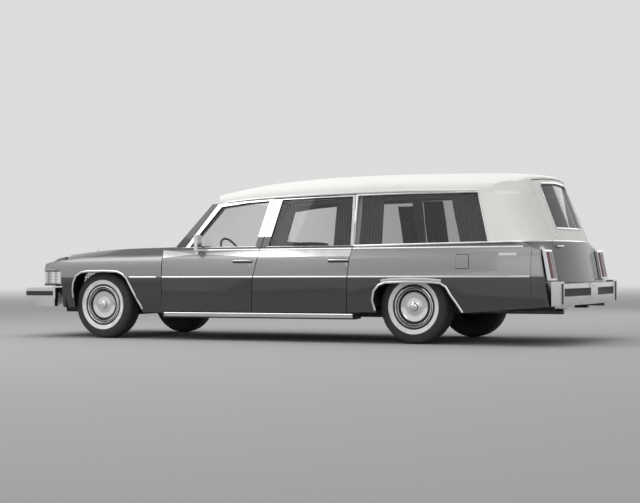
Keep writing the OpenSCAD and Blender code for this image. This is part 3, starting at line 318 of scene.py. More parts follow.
pressed("roof", "padded_roof", "body", [roof_vinyl, lining, bright], paint_by=roof_finish)


def skin_of(*nodes):
    """The outer surfaces of some solids, to lay trim on."""
    points, faces = [], []
    for node in nodes:
        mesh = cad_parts[node].data
        faces += [[len(points) + v for v in p.vertices] for p in mesh.polygons]
        points += [v.co.copy() for v in mesh.vertices]
    return BVHTree.FromPolygons(points, faces)


side_skin = skin_of("body_shell", "roof", "front_fenders", "door_front_left", "door_front_right",
                    "door_rear_left", "door_rear_right")
rear_skin = skin_of("body_shell", "roof", "rear_door")


def meet(skin, start, way, kept=lambda place: True):
    """Where a line from start first meets a skin, and which way the skin faces there."""
    place, normal, _, _ = skin.ray_cast(Vector(start), Vector(way))
    return (place, normal) if place and kept(place) else None


def on_side(side, y, z, skin=None, least=0.66):
    """Where the car's side is at y, z."""
    return meet(skin or side_skin, (side * 1.4, y, z), (-side, 0, 0), lambda place: abs(place.x) > least)


def on_rear(x, z, skin=None):
    """The same for the car's back at x, z."""
    return meet(skin or rear_skin, (x, 3.6, z), (0, -1, 0), lambda place: place.y > 2.2)


def round_corner(side, angle, z, skin=None):
    """The same round a rear corner, at an angle from straight out sideways to straight back."""
    out = Vector((side * math.cos(math.radians(angle)), math.sin(math.radians(angle)), 0))
    return meet(skin or rear_skin, Vector((side * 0.60, 2.50, z)) + out, -out)


def skinned(name, rings, finishes, ends=True, loop=False, angle=38, which=None, open_ring=False):
    """A mesh through rings of points that all have the same count."""
    count, rows = len(rings[0]), len(rings)
    faces, marks = [], []
    for r in range(rows if loop else rows - 1):
        for i in range(count - 1 if open_ring else count):
            j, q = (i + 1) % count, (r + 1) % rows
            faces.append((r * count + i, r * count + j, q * count + j, q * count + i))
            marks.append(which(r, i) if which else 0)
    if ends and not loop:
        faces += [tuple(range(count)), tuple((rows - 1) * count + i for i in range(count))]
        marks += [marks[0], marks[-1]]
    mesh = bpy.data.meshes.new(name)
    mesh.from_pydata([tuple(p) for ring in rings for p in ring], [], faces)
    for finish in finishes:
        mesh.materials.append(finish.material)
    for face, mark in zip(mesh.polygons, marks):
        face.material_index, face.use_smooth = mark, True
    bm = bmesh.new()
    bm.from_mesh(mesh)
    bmesh.ops.remove_doubles(bm, verts=bm.verts, dist=1e-6)
    bmesh.ops.recalc_face_normals(bm, faces=bm.faces)
    bm.to_mesh(mesh)
    bm.free()
    mesh.set_sharp_from_angle(angle=math.radians(angle))
    return bpy.data.objects.new(name, mesh)


def strip(name, body, found, width, rise, finish=bright, closed=False, flat=0.55):
    """A domed trim strip along surface points, each with the way that the surface faces."""
    found = [f for f in found if f]
    rings, count = [], len(found)
    for i, (place, normal) in enumerate(found):
        before = found[(i - 1) % count if closed else max(i - 1, 0)][0]
        after = found[(i + 1) % count if closed else min(i + 1, count - 1)][0]
        along = (after - before).normalized()
        across = along.cross(normal).normalized()
        out = across.cross(along).normalized()
        if out.dot(normal) < 0:
            out = -out
        rings.append([place + across * (width / 2 * t) + out * h for t, h in (
            (-1, -0.002), (-1, rise * 0.45), (-flat, rise * 0.94), (0, rise), (flat, rise * 0.94),
            (1, rise * 0.45), (1, -0.002))])
    return put(skinned(name, rings, [finish], loop=closed), body)


def span(a, b, step=0.06):
    count = max(2, int(abs(b - a) / step) + 1)
    return [a + (b - a) * i / (count - 1) for i in range(count)]


dark = Finish("dark_moulding", (0.02, 0.02, 0.021), 0.45)
dark.colour(dark.noise(30.0), (0.014, 0.014, 0.015), (0.035, 0.035, 0.036))
dark.set("Roughness", 0.38 + dark.noise(60.0) * 0.25)
dark.bump((dark.noise(900.0, 1.0), 0.15, 0.0002))

belt, mid = 0.943, 0.662                    # heights of the belt and mid mouldings
y_door, y_b, y_c, seam = -1.250, -0.075, 0.980, 2.835   # hinge line, two pillars, rear end cap
front_axle, rear_axle = -2.070, 1.600


def line_at(table, z):
    """A value read off a short table of (z, value), straight between its entries."""
    for (z0, v0), (z1, v1) in zip(table, table[1:]):
        if z <= z1:
            return v0 + (v1 - v0) * max(0.0, (z - z0) / (z1 - z0))
    return table[-1][1]


def b_line(z):
    return y_b + line_at(((0.285, -0.088), (0.45, -0.083), (0.64, -0.070), (0.735, -0.050), (0.968, 0),
        (1.468, 0.11)), z)


def c_line(z):
    return y_c + line_at(((0.285, -0.056), (0.531, -0.051), (0.735, -0.040), (0.85, -0.028), (0.968, 0),
        (1.468, -0.03)), z)


sides = (("left", 1), ("right", -1))
for word, side in sides:
    front, rear = "door_front_" + word, "door_rear_" + word
    for label, body, y0, y1 in (("fender", "body", -1.66, y_door - 0.001),
        ("front_door", front, y_door + 0.003, b_line(mid) - 0.009),
                                ("rear_door", rear, b_line(mid) + 0.003, c_line(mid) - 0.009),
                                ("quarter", "body", c_line(mid) + 0.003, seam)):
        strip(f"mid_trim_{label}_{word}", body, [on_side(side, y, mid) for y in span(y0, y1)], 0.016, 0.005)
    for label, body, y0, y1 in (("front_door", front, -0.84, b_line(belt) - 0.009),
                                ("rear_door", rear, b_line(belt) + 0.003, c_line(belt) - 0.009),
                                ("quarter", "body", c_line(belt) + 0.003, 2.76)):
        strip(f"belt_trim_{label}_{word}", body, [on_side(side, y, belt) for y in span(y0, y1)], 0.017, 0.006)
    strip(f"end_cap_seam_{word}", "body", [on_side(side, seam + 0.008, z) for z in span(0.44, 0.93, 0.04)],
        0.004, 0.0012,
          dark)
    strip(f"sill_trim_{word}", "body", [on_side(side, y, 0.272) for y in span(-1.47, 0.985)], 0.042, 0.007,
        flat=0.85)
    # the vinyl's edge, along the side and round the rear corner to the rear door
    route = [on_side(side, y, 0.968 + (y - 0.977) * 0.0156) for y in span(0.99, 2.55)]
    route += [round_corner(side, a, 0.9925 + 0.006 * a / 90) for a in range(8, 85, 6)]
    route += [on_rear(side * x, 0.9985) for x in (0.66, 0.63, 0.600)]
    strip(f"vinyl_edge_{word}", "body", route, 0.014, 0.005)
    # the drip rail from the windscreen pillar to the end of the quarter window
    rail = [on_side(side, y, z) for y, z in (
        (-0.66, 1.418), (-0.60, 1.437), (-0.50, 1.449), (-0.30, 1.466), (-0.10, 1.478), (0.066, 1.484),
        (0.30, 1.491), (0.50, 1.496), (0.76, 1.502), (0.98, 1.506), (1.30, 1.509), (1.50, 1.509),
        (1.80, 1.505), (2.10, 1.499), (2.25, 1.496))]
    strip(f"drip_rail_{word}", "body", rail, 0.016, 0.007)
    # bright lips round the wheel arches
    for label, axle, arch in (
            ("front", front_axle, ((-0.345, 0.300), (-0.349, 0.440), (-0.358, 0.523), (-0.345, 0.604),
                (-0.306, 0.676),
                             (-0.238, 0.717), (-0.15, 0.728), (0.08, 0.730), (0.20, 0.726), (0.252, 0.722),
                             (0.317, 0.696),
                             (0.372, 0.652), (0.457, 0.504), (0.547, 0.349), (0.560, 0.322))),
            ("rear", rear_axle, ((-0.352, 0.285), (-0.368, 0.330), (-0.396, 0.433), (-0.378, 0.523),
                (-0.325, 0.581), (-0.258, 0.606),
                           (0.0, 0.614), (0.252, 0.608), (0.330, 0.599), (0.387, 0.565), (0.437, 0.484),
                           (0.497, 0.404),
                           (0.555, 0.318)))):
        lip = [on_side(side, axle + y, z) for y, z in arch]
        strip(f"arch_lip_{label}_{word}", "body", lip, 0.020, 0.006)
    top = [on_side(side, rear_axle + y, z) for y, z in ((-0.30, 0.622), (-0.2, 0.634), (0, 0.638), (0.2, 0.634),
        (0.34, 0.622))]
    strip(f"arch_band_{word}", "body", top, 0.030, 0.007, flat=0.8)

# ---------------------------------------------------------------- wheelhouse liners
# Moulded black liners above and ahead of the front wheels, clipped inside the fenders; they
# leave room for the tyres at full lock.
outline = ((-0.452, 0.33), (-0.462, 0.44), (-0.464, 0.56), (-0.440, 0.67), (-0.360, 0.755), (-0.20, 0.788),
    (0.0, 0.795), (0.22, 0.788),
           (0.37, 0.740), (0.462, 0.60), (0.500, 0.46), (0.545, 0.37))
for word, side in sides:
    rings = []
    for y, z in outline:
        edge, thick = Vector((0, y, z - 0.42)).normalized(), 0.004
        row = [(0.60, 0), (0.66, 0), (0.80, 0), (0.945, 0), (0.945, thick), (0.80, thick), (0.66, thick),
            (0.60, thick)]
        rings.append([(side * x, front_axle + y + edge.y * t + 0.0015 * math.sin(90 * x), z + edge.z * t) for x,
            t in row])
    put(skinned(f"wheel_liner_{word}", rings, [dark], angle=60), "body")

# ---------------------------------------------------------------- side doors
# Steel doors with bright window frames, a plate on the centre pillar, cloth and vinyl trim
# inside; the front pair carries a chromium mirror with its glass to the rear.
trim = Finish("door_trim_vinyl", (0.075, 0.075, 0.078), 0.55, Sheen_Weight=0.2)
trim_grain = trim.cells(300.0, "DISTANCE_TO_EDGE")
trim.colour(trim.noise(4.0), (0.055, 0.055, 0.058), (0.11, 0.11, 0.112))
trim.set("Roughness", 0.45 + trim.noise(20.0) * 0.25)
trim.bump((trim_grain.ramp(0.0, 0.1), 0.4, 0.0005), (trim.node("ShaderNodeTexWave", {"bands_direction": "Y"}, {
    "Vector": trim.place, "Scale": 6.0, "Distortion": 0.0})[0], 0.25, 0.003))


def door_finish(centre, normal):
    if centre.z > 0.885 and abs(centre.x) > 0.95:
        return 1
    if inward(centre, normal) and abs(centre.x) < 0.90:
        return 2
    if centre.z > 0.973:
        pillar = b_line(centre.z)
        return 0 if centre.z < 1.075 and abs(centre.y - pillar) < 0.075 else 1
    return 0


for word, side in sides:
    for place in ("front", "rear"):
        node = f"door_{place}_{word}"
        pressed(node, node + "_panel", node, [coach_paint, bright, trim], paint_by=door_finish,
                cut=[(Vector((0, 0, 0.973)), Vector((0, 0, 1))), (Vector((0, 0, 1.075)), Vector((0, 0, 1)))])

# ---------------------------------------------------------------- door handles and badges
# Die-cast pull handles in shallow dark cups, a lock below each, and a plain blank bar at the rear.
def bar(name, body, path, sizes, finish, power=2.6, points=14):
    """A rounded bar along a path; sizes are (across, up) half sizes at each point, up is towards +Z."""
    rings = []
    for i, (centre, (wide, high)) in enumerate(zip(path, sizes)):
        along = (Vector(path[min(i + 1, len(path) - 1)]) - Vector(path[max(i - 1, 0)])).normalized()
        up = Vector((0, 0, 1)) if abs(along.z) < 0.8 else Vector((1, 0, 0))
        across = along.cross(up).normalized()
        up = across.cross(along)
        ring = []
        for k in range(points):
            c, s = math.cos(2 * math.pi * k / points), math.sin(2 * math.pi * k / points)
            ring.append(Vector(centre) + across * wide * math.copysign(abs(c) ** (2 / power), c)
                        + up * high * math.copysign(abs(s) ** (2 / power), s))
        rings.append(ring)
    return put(skinned(name, rings, [finish]), body)


def turned(name, body, centre, side, profile, finishes, steps=72, which=None, change=None, stands_for=()):
    """A piece turned about a line across the car, from (radius, distance outward) points."""
    rings = []
    for k in range(steps):
        a = 2 * math.pi * k / steps
        ring = []
        for i, (r, x) in enumerate(profile):
            if change:
                r, x = change(k, i, r, x)
            ring.append((centre[0] + side * x, centre[1] + r * math.cos(a), centre[2] + r * math.sin(a)))
        rings.append(ring)
    return put(skinned(name, rings, finishes, loop=True, which=which and (lambda r, i: which(i))), body,
        stands_for)


for word, side in sides:
    for place, y in (("front", -0.272), ("rear", 0.830)):
        door = f"door_{place}_{word}"
        x = abs(on_side(side, y, 0.828)[0].x)
        bar(f"handle_cup_{place}_{word}", door, [(side * (x + 0.001), y + d, 0.828) for d in (-0.116, -0.110,
            0.110, 0.116)],
            [(0.002, 0.010), (0.005, 0.021), (0.005, 0.021), (0.002, 0.010)], dark, 5)
        bar(f"handle_pull_{place}_{word}", door,
            [(side * (x + o), y + d, 0.832) for d, o in ((-0.114, 0.004), (-0.104, 0.014), (-0.07, 0.019),
                (0, 0.021),
                                                         (0.07, 0.019), (0.104, 0.014), (0.114, 0.004))],
            [(0.004, 0.008), (0.006, 0.010), (0.006, 0.009), (0.006, 0.0085), (0.006, 0.009), (0.006, 0.010),
                (0.004, 0.008)],
            bright)
        turned(f"door_lock_{place}_{word}", door, (side * x, y + 0.085, 0.786), side,
               [(0, 0.009), (0.006, 0.009), (0.0065, 0.0075), (0.011, 0.0075), (0.0145, 0.004), (0.015, -0.002),
                   (0, -0.002)],
               [bright, dark], 28, which=lambda i: int(i == 0))
    badge = [on_side(side, y, 0.874) for y in span(2.52, 2.70, 0.03)]
    strip(f"badge_bar_{word}", "body", badge, 0.030, 0.005, flat=0.9)

# ---------------------------------------------------------------- wheels
# Bias-belted tyres with a white band and a five-rib tread with notched shoulders, on steel rims
# under full-width stainless covers: a bright ring, a dark ring of small vents, a dished disc, a hub.
rubber = Finish("tyre_rubber", (0.018, 0.018, 0.019), 0.75)
rubber.colour(rubber.noise(9.0, 5.0), (0.020, 0.020, 0.021), (0.050, 0.048, 0.046))
rubber.set("Roughness", 0.62 + rubber.noise(40.0) * 0.25)
rubber.bump((rubber.noise(500.0, 2.0), 0.25, 0.0004))
white_wall = Finish("white_wall", (0.80, 0.79, 0.77), 0.55)
white_wall.colour(white_wall.noise(11.0, 5.0).ramp(0.4, 0.8), (0.84, 0.835, 0.82), (0.62, 0.61, 0.58))
white_wall.bump((white_wall.noise(400.0, 2.0), 0.12, 0.0003))
tread = [(0.196, -0.081), (0.212, -0.094), (0.256, -0.110), (0.291, -0.112), (0.335, -0.105), (0.352, -0.094)]
for edge in (-0.068, -0.041, -0.014, 0.014, 0.041, 0.068):
    tread += [(0.3645 - 6e-1 * edge ** 2 - 0.0005, edge - 0.003), (0.357, edge - 0.0022), (0.357, edge + 0.0022),
              (0.3645 - 6e-1 * edge ** 2 - 0.0005, edge + 0.003)]
tread += [(0.352, 0.094), (0.335, 0.105), (0.291, 0.112), (0.2685, 0.1112), (0.2680, 0.1122), (0.2240, 0.1005),
    (0.2235, 0.0990),
          (0.212, 0.096), (0.204, 0.092), (0.196, 0.081)]
white = len(tread) - 6
cover = [(0.0, 0.108), (0.020, 0.1075), (0.030, 0.106), (0.037, 0.101), (0.039, 0.094), (0.041, 0.085),
    (0.047, 0.083),
         (0.060, 0.079), (0.090, 0.076), (0.120, 0.079), (0.136, 0.083), (0.143, 0.085), (0.146, 0.081),
             (0.148, 0.076),
         (0.166, 0.078), (0.170, 0.087), (0.173, 0.0935), (0.176, 0.094), (0.179, 0.089), (0.182, 0.087),
             (0.191, 0.091),
         (0.194, 0.100), (0.198, 0.1035), (0.203, 0.102), (0.207, 0.096), (0.203, 0.088), (0.196, 0.080),
             (0.196, -0.080),
         (0.208, -0.094), (0.190, -0.090), (0.176, -0.083), (0.172, 0.030), (0.150, 0.026), (0.060, 0.008),
             (0.031, 0.008),
         (0.031, 0.092), (0.0, 0.096)]


def notched(k, i, r, x):
    """Every fourth step of the shoulder ribs is cut back."""
    return (r - 0.0055, x) if r > 0.350 and abs(x) > 0.066 and k % 4 == 0 else (r, x)


def vented(k, i, r, x):
    """Small radial vents in the dark ring of the cover."""
    return (r, x + 0.006) if 13 <= i <= 14 and k % 3 == 0 else (r, x)


rim_steel = Finish("rim_steel", (0.05, 0.05, 0.052), 0.5, 0.6)
rim_steel.colour(rim_steel.noise(14.0), (0.035, 0.035, 0.036), (0.08, 0.078, 0.075))
rim_steel.bump((rim_steel.noise(80.0), 0.1, 0.0005))
for place in ("front", "rear"):
    for word, side in sides:
        low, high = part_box(f"tyre_{place}_{word}")
        centre = [(a + b) / 2 for a, b in zip(low, high)]
        body = f"wheel_{place}_{word}"
        turned(f"tyre_tread_{place}_{word}", body, centre, side, tread, [rubber, white_wall], 192,
               which=lambda i: int(i == white), change=notched, stands_for=(f"tyre_{place}_{word}",))
        turned(f"wheel_cover_{place}_{word}", body, centre, side, cover, [bright, dark, rim_steel],
            144,
               which=lambda i: 1 if 12 <= i <= 14 or i in (4, 19) else 2 if i >= 24 else 0, change=vented,
               stands_for=(f"wheel_{place}_{word}",))

# ---------------------------------------------------------------- glass
# Tempered sheets with a faint grey tint, bonded or held in channels; the windscreen is curved.
pane = Finish("window_glass", (0.035, 0.04, 0.04), 0.02, 0.0, Specular_IOR_Level=1.0, Coat_Weight=1.0,
    Coat_Roughness=0.02)
rim_light = pane.node("ShaderNodeLayerWeight", {}, {"Blend": 0.35})["Facing"]
pane.set("Alpha", 0.07 + pane.y.ramp(-0.3, 1.2) * 0.15 + rim_light * 0.18)
pane.set("Roughness", 0.015 + pane.noise(5.0, 4.0).ramp(0.45, 0.8) * 0.05)
for node, body in [("fixed_glass", "body"), ("rear_door_glass", "rear_door")] + [
        (f"glass_{p}_{w}", f"door_{p}_{w}") for p in ("front", "rear") for w in ("left", "right")]:
    pressed(node, node + "_pane", body, [pane], edge=0.001)

# ---------------------------------------------------------------- window surrounds
# Thin bright reveals round each quarter window and the rear window, over a black rubber seal.
seal = Finish("rubber_seal", (0.015, 0.015, 0.015), 0.7)
seal.colour(seal.noise(40.0), (0.010, 0.010, 0.010), (0.03, 0.03, 0.03))
seal.bump((seal.noise(600.0), 0.2, 0.0003))


def around(corners, step=0.05):
    """Points along a closed outline, close enough to follow a curved panel."""
    route = []
    for (a0, b0), (a1, b1) in zip(corners, corners[1:] + corners[:1]):
        count = max(1, round(math.hypot(a1 - a0, b1 - b0) / step))
        route += [(a0 + (a1 - a0) * i / count, b0 + (b1 - b0) * i / count) for i in range(count)]
    return route


quarter = [(0.972, 0.973), (0.962, 1.480), (1.500, 1.487), (2.256, 1.482), (2.402, 0.991)]
gate = [(-0.408, 1.124), (-0.401, 1.548), (-0.360, 1.568), (0, 1.582), (0.360, 1.568), (0.401, 1.548),
    (0.408, 1.124)]
for word, side in sides:
    strip(f"quarter_reveal_{word}", "body", [on_side(side, y, z) for y, z in around(quarter)], 0.014, 0.005,
        closed=True)
strip("rear_window_reveal", "rear_door", [on_rear(x, z) for x, z in around(gate)], 0.018, 0.006, closed=True)
strip("rear_window_seal", "rear_door", [on_rear(x * 0.985, 1.33 + (z - 1.33) * 0.975) for x, z in around(gate)],
    0.006, 0.004,
      seal, closed=True)

# ---------------------------------------------------------------- rear door
# One wide door, hinged on the right: enamel below, padded vinyl above, a bright joint between
# them, a pull handle and a lock on its left, and a trimmed inner side.
def rear_door_finish(centre, normal):
    if normal.y < -0.4:
        return 2
    return 1 if centre.z > 1.000 else 0


pressed("rear_door", "rear_door_panel", "rear_door", [coach_paint, roof_vinyl, trim],
    paint_by=rear_door_finish,
        cut=[(Vector((0, 0, 1.000)), Vector((0, 0, 1)))])
strip("rear_door_joint", "rear_door", [on_rear(x, 0.998) for x in span(-0.586, 0.586)], 0.014, 0.005)
lock_at, pull_at = on_rear(0.48, 1.047)[0], on_rear(0.46, 0.945)[0]
bar("rear_door_pull", "rear_door", [(pull_at.x + d, pull_at.y + o, pull_at.z + 0.004) for d, o in (
    (-0.07, 0.002), (-0.06, 0.016), (-0.03, 0.022), (0.03, 0.020), (0.06, 0.012), (0.07, -0.004))],
    [(0.005, 0.008), (0.007, 0.011), (0.006, 0.010), (0.006, 0.010), (0.007, 0.011), (0.005, 0.008)], bright)
bar("rear_door_lock", "rear_door", [(lock_at.x, lock_at.y + o, lock_at.z) for o in (-0.004, 0.003, 0.006, 0.0065)],
    [(0.014, 0.014), (0.014, 0.014), (0.011, 0.011), (0.003, 0.003)], bright, 2)

# ---------------------------------------------------------------- fuel door
# A square flap with a spring hinge at its front edge, flush with the left quarter.
pressed("fuel_door", "fuel_flap", "fuel_door", [coach_paint], edge=0.0015)

# ---------------------------------------------------------------- lamps
# Upright rear lamps: red ribbed lenses between bright ribs in cast housings. At the front, four
# round sealed beams in the grille panel and ribbed clear lamps that wrap round the corners.
red = Finish("red_lens", (0.12, 0.010, 0.012), 0.22, 0.0, Coat_Weight=0.25, Coat_Roughness=0.05, IOR=1.49)
flute = red.node("ShaderNodeTexWave", {"bands_direction": "Z"},
    {"Vector": red.place, "Scale": 28.0, "Distortion": 0.0})[0]
red.colour(flute * 0.5 + red.noise(20.0) * 0.5, (0.07, 0.005, 0.006), (0.17, 0.014, 0.016))
red.set("Roughness", 0.16 + flute * 0.12)
red.bump((flute, 0.6, 0.002))
clear = Finish("lamp_glass", (0.62, 0.63, 0.64), 0.06, 0.35, Coat_Weight=1.0, Coat_Roughness=0.02)
prism = clear.node("ShaderNodeTexWave", {"bands_direction": "X"},
    {"Vector": clear.place, "Scale": 16.0, "Distortion": 0.0})[0]
clear.colour(prism, (0.42, 0.43, 0.44), (0.80, 0.81, 0.82))
clear.set("Roughness", 0.04 + prism * 0.10)
clear.bump((prism, 0.5, 0.002), (clear.node("ShaderNodeTexWave", {"bands_direction": "Z"}, {
    "Vector": clear.place, "Scale": 9.0, "Distortion": 0.0})[0], 0.3, 0.002))
pressed("tail_lamps", "tail_lamp_housings", "body", [bright], edge=0.006)
pressed("headlamps", "front_lamps", "body", [clear], edge=0.004)
lamp_skin = skin_of("tail_lamps")
for word, side in sides:
    low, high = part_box("tail_lamps")
    x_in = high[0] - 0.205
    rows = span(low[2] + 0.022, high[2] - 0.022, 0.03)
    for label, x, half, rise, finish, slot in (("lens", x_in + 0.092, 0.078, 0.006, red, "red_lens"),
                                              ("rib_inner", x_in + 0.060, 0.0035, 0.013, bright, "bright_chrome"),
                                              ("rib_outer", x_in + 0.104, 0.0035, 0.013, bright, "bright_chrome")):
        found = [on_rear(side * x, z, lamp_skin) for z in rows]
        strip(f"tail_lamp_{label}_{word}", "body", found, 2 * half, rise, finish, flat=0.88)

# ---------------------------------------------------------------- grille and bumpers
# Die-cast grille of fine crossed bars in a bright frame under a painted header; heavy chromed
# steel bumpers with black rub strips, and upright guards under the rear lamps.
pressed("grille", "radiator_grille", "body", [bright, coach_paint, dark], edge=0.002,
        paint_by=lambda c, n: 1 if c.z > 0.805 else 2 if n.y > 0.7 and c.z < 0.8 else 0)
bumper_face = skin_of("front_bumper", "rear_bumper")
pressed("front_bumper", "front_bumper_bars", "body", [bright], edge=0.008)
pressed("rear_bumper", "rear_bumper_bars", "body", [bright, dark], edge=0.007,
        paint_by=lambda c, n: int(n.y > 0.5 and (0.466 < c.z < 0.545 and abs(c.x) < 0.80 and c.y < 3.12)))


rub = [on_side(1, y, 0.488, bumper_face, 0) for y in span(-2.68, -2.96)]
rub += [meet(bumper_face, (x, -3.6, 0.488), (0, 1, 0)) for x in span(0.955, -0.955, 0.05)]
rub += [on_side(-1, y, 0.488, bumper_face, 0) for y in span(-2.96, -2.68)]
strip("front_rub_strip", "body", rub, 0.050, 0.006, dark, flat=0.9)
# frames and dividers of the corner lamps
corner_skin = skin_of("headlamps", "front_fenders")

for word, side in sides:
    for label, y0, z0, y1, z1, width, finish in (
            ("top", -2.86, 0.733, -2.600, 0.733, 0.014, dark), ("foot", -2.86, 0.586, -2.600, 0.586, 0.016, dark),
            ("rear", -2.606, 0.592, -2.606, 0.728, 0.014, bright),
                ("divider", -2.790, 0.594, -2.790, 0.726, 0.012, dark)):
        found = [on_side(side, y0 + (y1 - y0) * t, z0 + (z1 - z0) * t, corner_skin, 0.6) for t in span(0, 1, 0.1)]
        strip(f"corner_lamp_{label}_{word}", "body", found, width, 0.005, finish)
for word, side in sides:
    guard = [on_rear(side * 0.888, z, bumper_face) for z in span(0.40, 0.595, 0.03)]
    strip(f"guard_pad_{word}", "body", guard, 0.052, 0.007, dark)
    for x in (0.842, 0.934):
        strip(f"guard_rib_{word}_{int(x * 1000)}", "body",
            [on_rear(side * x, z, bumper_face) for z in span(0.395, 0.60, 0.03)],
              0.012, 0.008)
for x in (-0.05, 0.05):
    bar(f"plate_lamp_{'a' if x < 0 else 'b'}", "body",
        [(x - 0.02, 3.163, 0.560), (x, 3.165, 0.560), (x + 0.02, 3.163, 0.560)],
        [(0.004, 0.006), (0.006, 0.008), (0.004, 0.006)], clear)

# ---------------------------------------------------------------- hood ornament
# A plain upright blade on a round foot, standing on the header panel.
foot = Vector((0, -2.761, 0.0))
hit = skin_of("grille", "hood").ray_cast(Vector((0, foot.y, 1.4)), Vector((0, 0, -1)))[0]
bar("ornament_foot", "body", [(0, foot.y, hit.z + h) for h in (-0.004, 0.004, 0.010, 0.016)],
    [(0.030, 0.024), (0.028, 0.022), (0.018, 0.014), (0.006, 0.006)], bright, 2, 24)
bar("ornament_blade", "body", [(0, foot.y + 0.010 * t, hit.z + 0.012 + 0.100 * t) for t in (0, 0.15, 0.4, 0.7,
    0.9, 1.0)],
    [(0.006, 0.006), (0.018, 0.004), (0.024, 0.0035), (0.020, 0.003), (0.012, 0.003), (0.003, 0.002)], bright,
        2, 20)

# ---------------------------------------------------------------- curtains
# Pleated cloth on rods at belt and roof, gathered to the ends of the rear side windows. Each
# pleat is a formula, not a simulation: both ends of the cloth are held in rods.
drape = Finish("curtain_cloth", (0.10, 0.10, 0.102), 0.85, Sheen_Weight=0.35)
yarn = drape.noise(1100.0, 1.0, 0.5, (1, 1, 0.12))
drape.colour(yarn * 0.5 + drape.noise(5.0) * 0.5, (0.055, 0.055, 0.057), (0.110, 0.108, 0.106))
drape.bump((yarn, 0.35, 0.0004))


def side_x(z):
    return 0.925 - 0.125 * (z - 0.968) / 0.510


def curtain(name, body, side, y0, y1, lean0, lean1, inset, z1):
    """One pleated curtain, from the belt to z1; lean0 and lean1 are how far its edges run at the top."""
    z0, folds = 0.972, max(4, round((y1 - y0) / 0.031))
    rows, steps = 26, folds * 12
    seed = 7 * y0 + 3 * side
    rings = []
    for r in range(rows + 1):
        t = r / rows
        z = z0 + (z1 - z0) * t
        row = []
        for k in range(steps + 1):
            u = k / steps
            wander = 0.16 * math.sin(3.1 * t + 9 * u + seed) + 0.10 * math.sin(7 * t - 5 * u + 2 * seed)
            depth = 0.0085 * math.sin(2 * math.pi * folds * u + wander * 6) * (0.82 + 0.18 * math.sin(5 * u + 4 * t + seed))
            y = y0 + (y1 - y0) * u + lean0 * t * (1 - u) + lean1 * t * u + 0.004 * wander * math.sin(math.pi * u)
            row.append(Vector((side * (side_x(z) - inset - 0.011 + depth), y, z)))
        rings.append(row)
    cloth = skinned(name, rings, [drape], ends=False, open_ring=True, angle=180)
    put(cloth, body)
    return cloth


for word, side in sides:
    door = f"door_rear_{word}"
    hung = [curtain(f"curtain_door_front_{word}", door, side, y_b + 0.064, y_b + 0.260, 0.110, 0.090, 0.0385,
        1.420),
            curtain(f"curtain_door_rear_{word}", door, side, y_c - 0.250, y_c - 0.064, -0.014, -0.026, 0.0385,
                1.420)]
    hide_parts(f"curtains_{word}_door")
    side_hung = [curtain(f"curtain_quarter_front_{word}", "body", side, y_c + 0.040, y_c + 0.290, -0.010,
        -0.020, 0.0285, 1.470),
                 curtain(f"curtain_quarter_rear_{word}", "body", side, 2.100, 2.400, -0.140, -0.140, 0.0285,
                     1.464)]
    if side > 0:
        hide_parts("curtains")

# ---------------------------------------------------------------- front seats
# Two bench halves in ribbed cloth over foam, on a steel base: each cushion is swelled by a short
# cloth simulation, held at its seam line.
seat_cloth = Finish("seat_cloth", (0.045, 0.045, 0.048), 0.85, Sheen_Weight=0.4)
rib = seat_cloth.node("ShaderNodeTexWave", {"bands_direction": "X"},
    {"Vector": seat_cloth.place, "Scale": 18.0, "Distortion": 0.2})[0]
seat_cloth.colour(rib * 0.4 + seat_cloth.noise(400.0) * 0.6, (0.03, 0.03, 0.032), (0.075, 0.074, 0.076))
seat_cloth.bump((rib, 0.5, 0.002), (seat_cloth.noise(900.0), 0.3, 0.0004))


def parts_of(node):
    """The separate solids of a node, as lists of corner points."""
    bm = bmesh.new()
    bm.from_mesh(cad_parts[node].data)
    bmesh.ops.remove_doubles(bm, verts=bm.verts, dist=2e-5)
    seen, found = set(), []
    for start in bm.verts:
        if start in seen:
            continue
        group, queue = [], [start]
        seen.add(start)
        while queue:
            v = queue.pop()
            group.append(v.co.copy())
            for line in v.link_edges:
                other = line.other_vert(v)
                if other not in seen:
                    seen.add(other)
                    queue.append(other)
        found.append(group)
    bm.free()
    return found


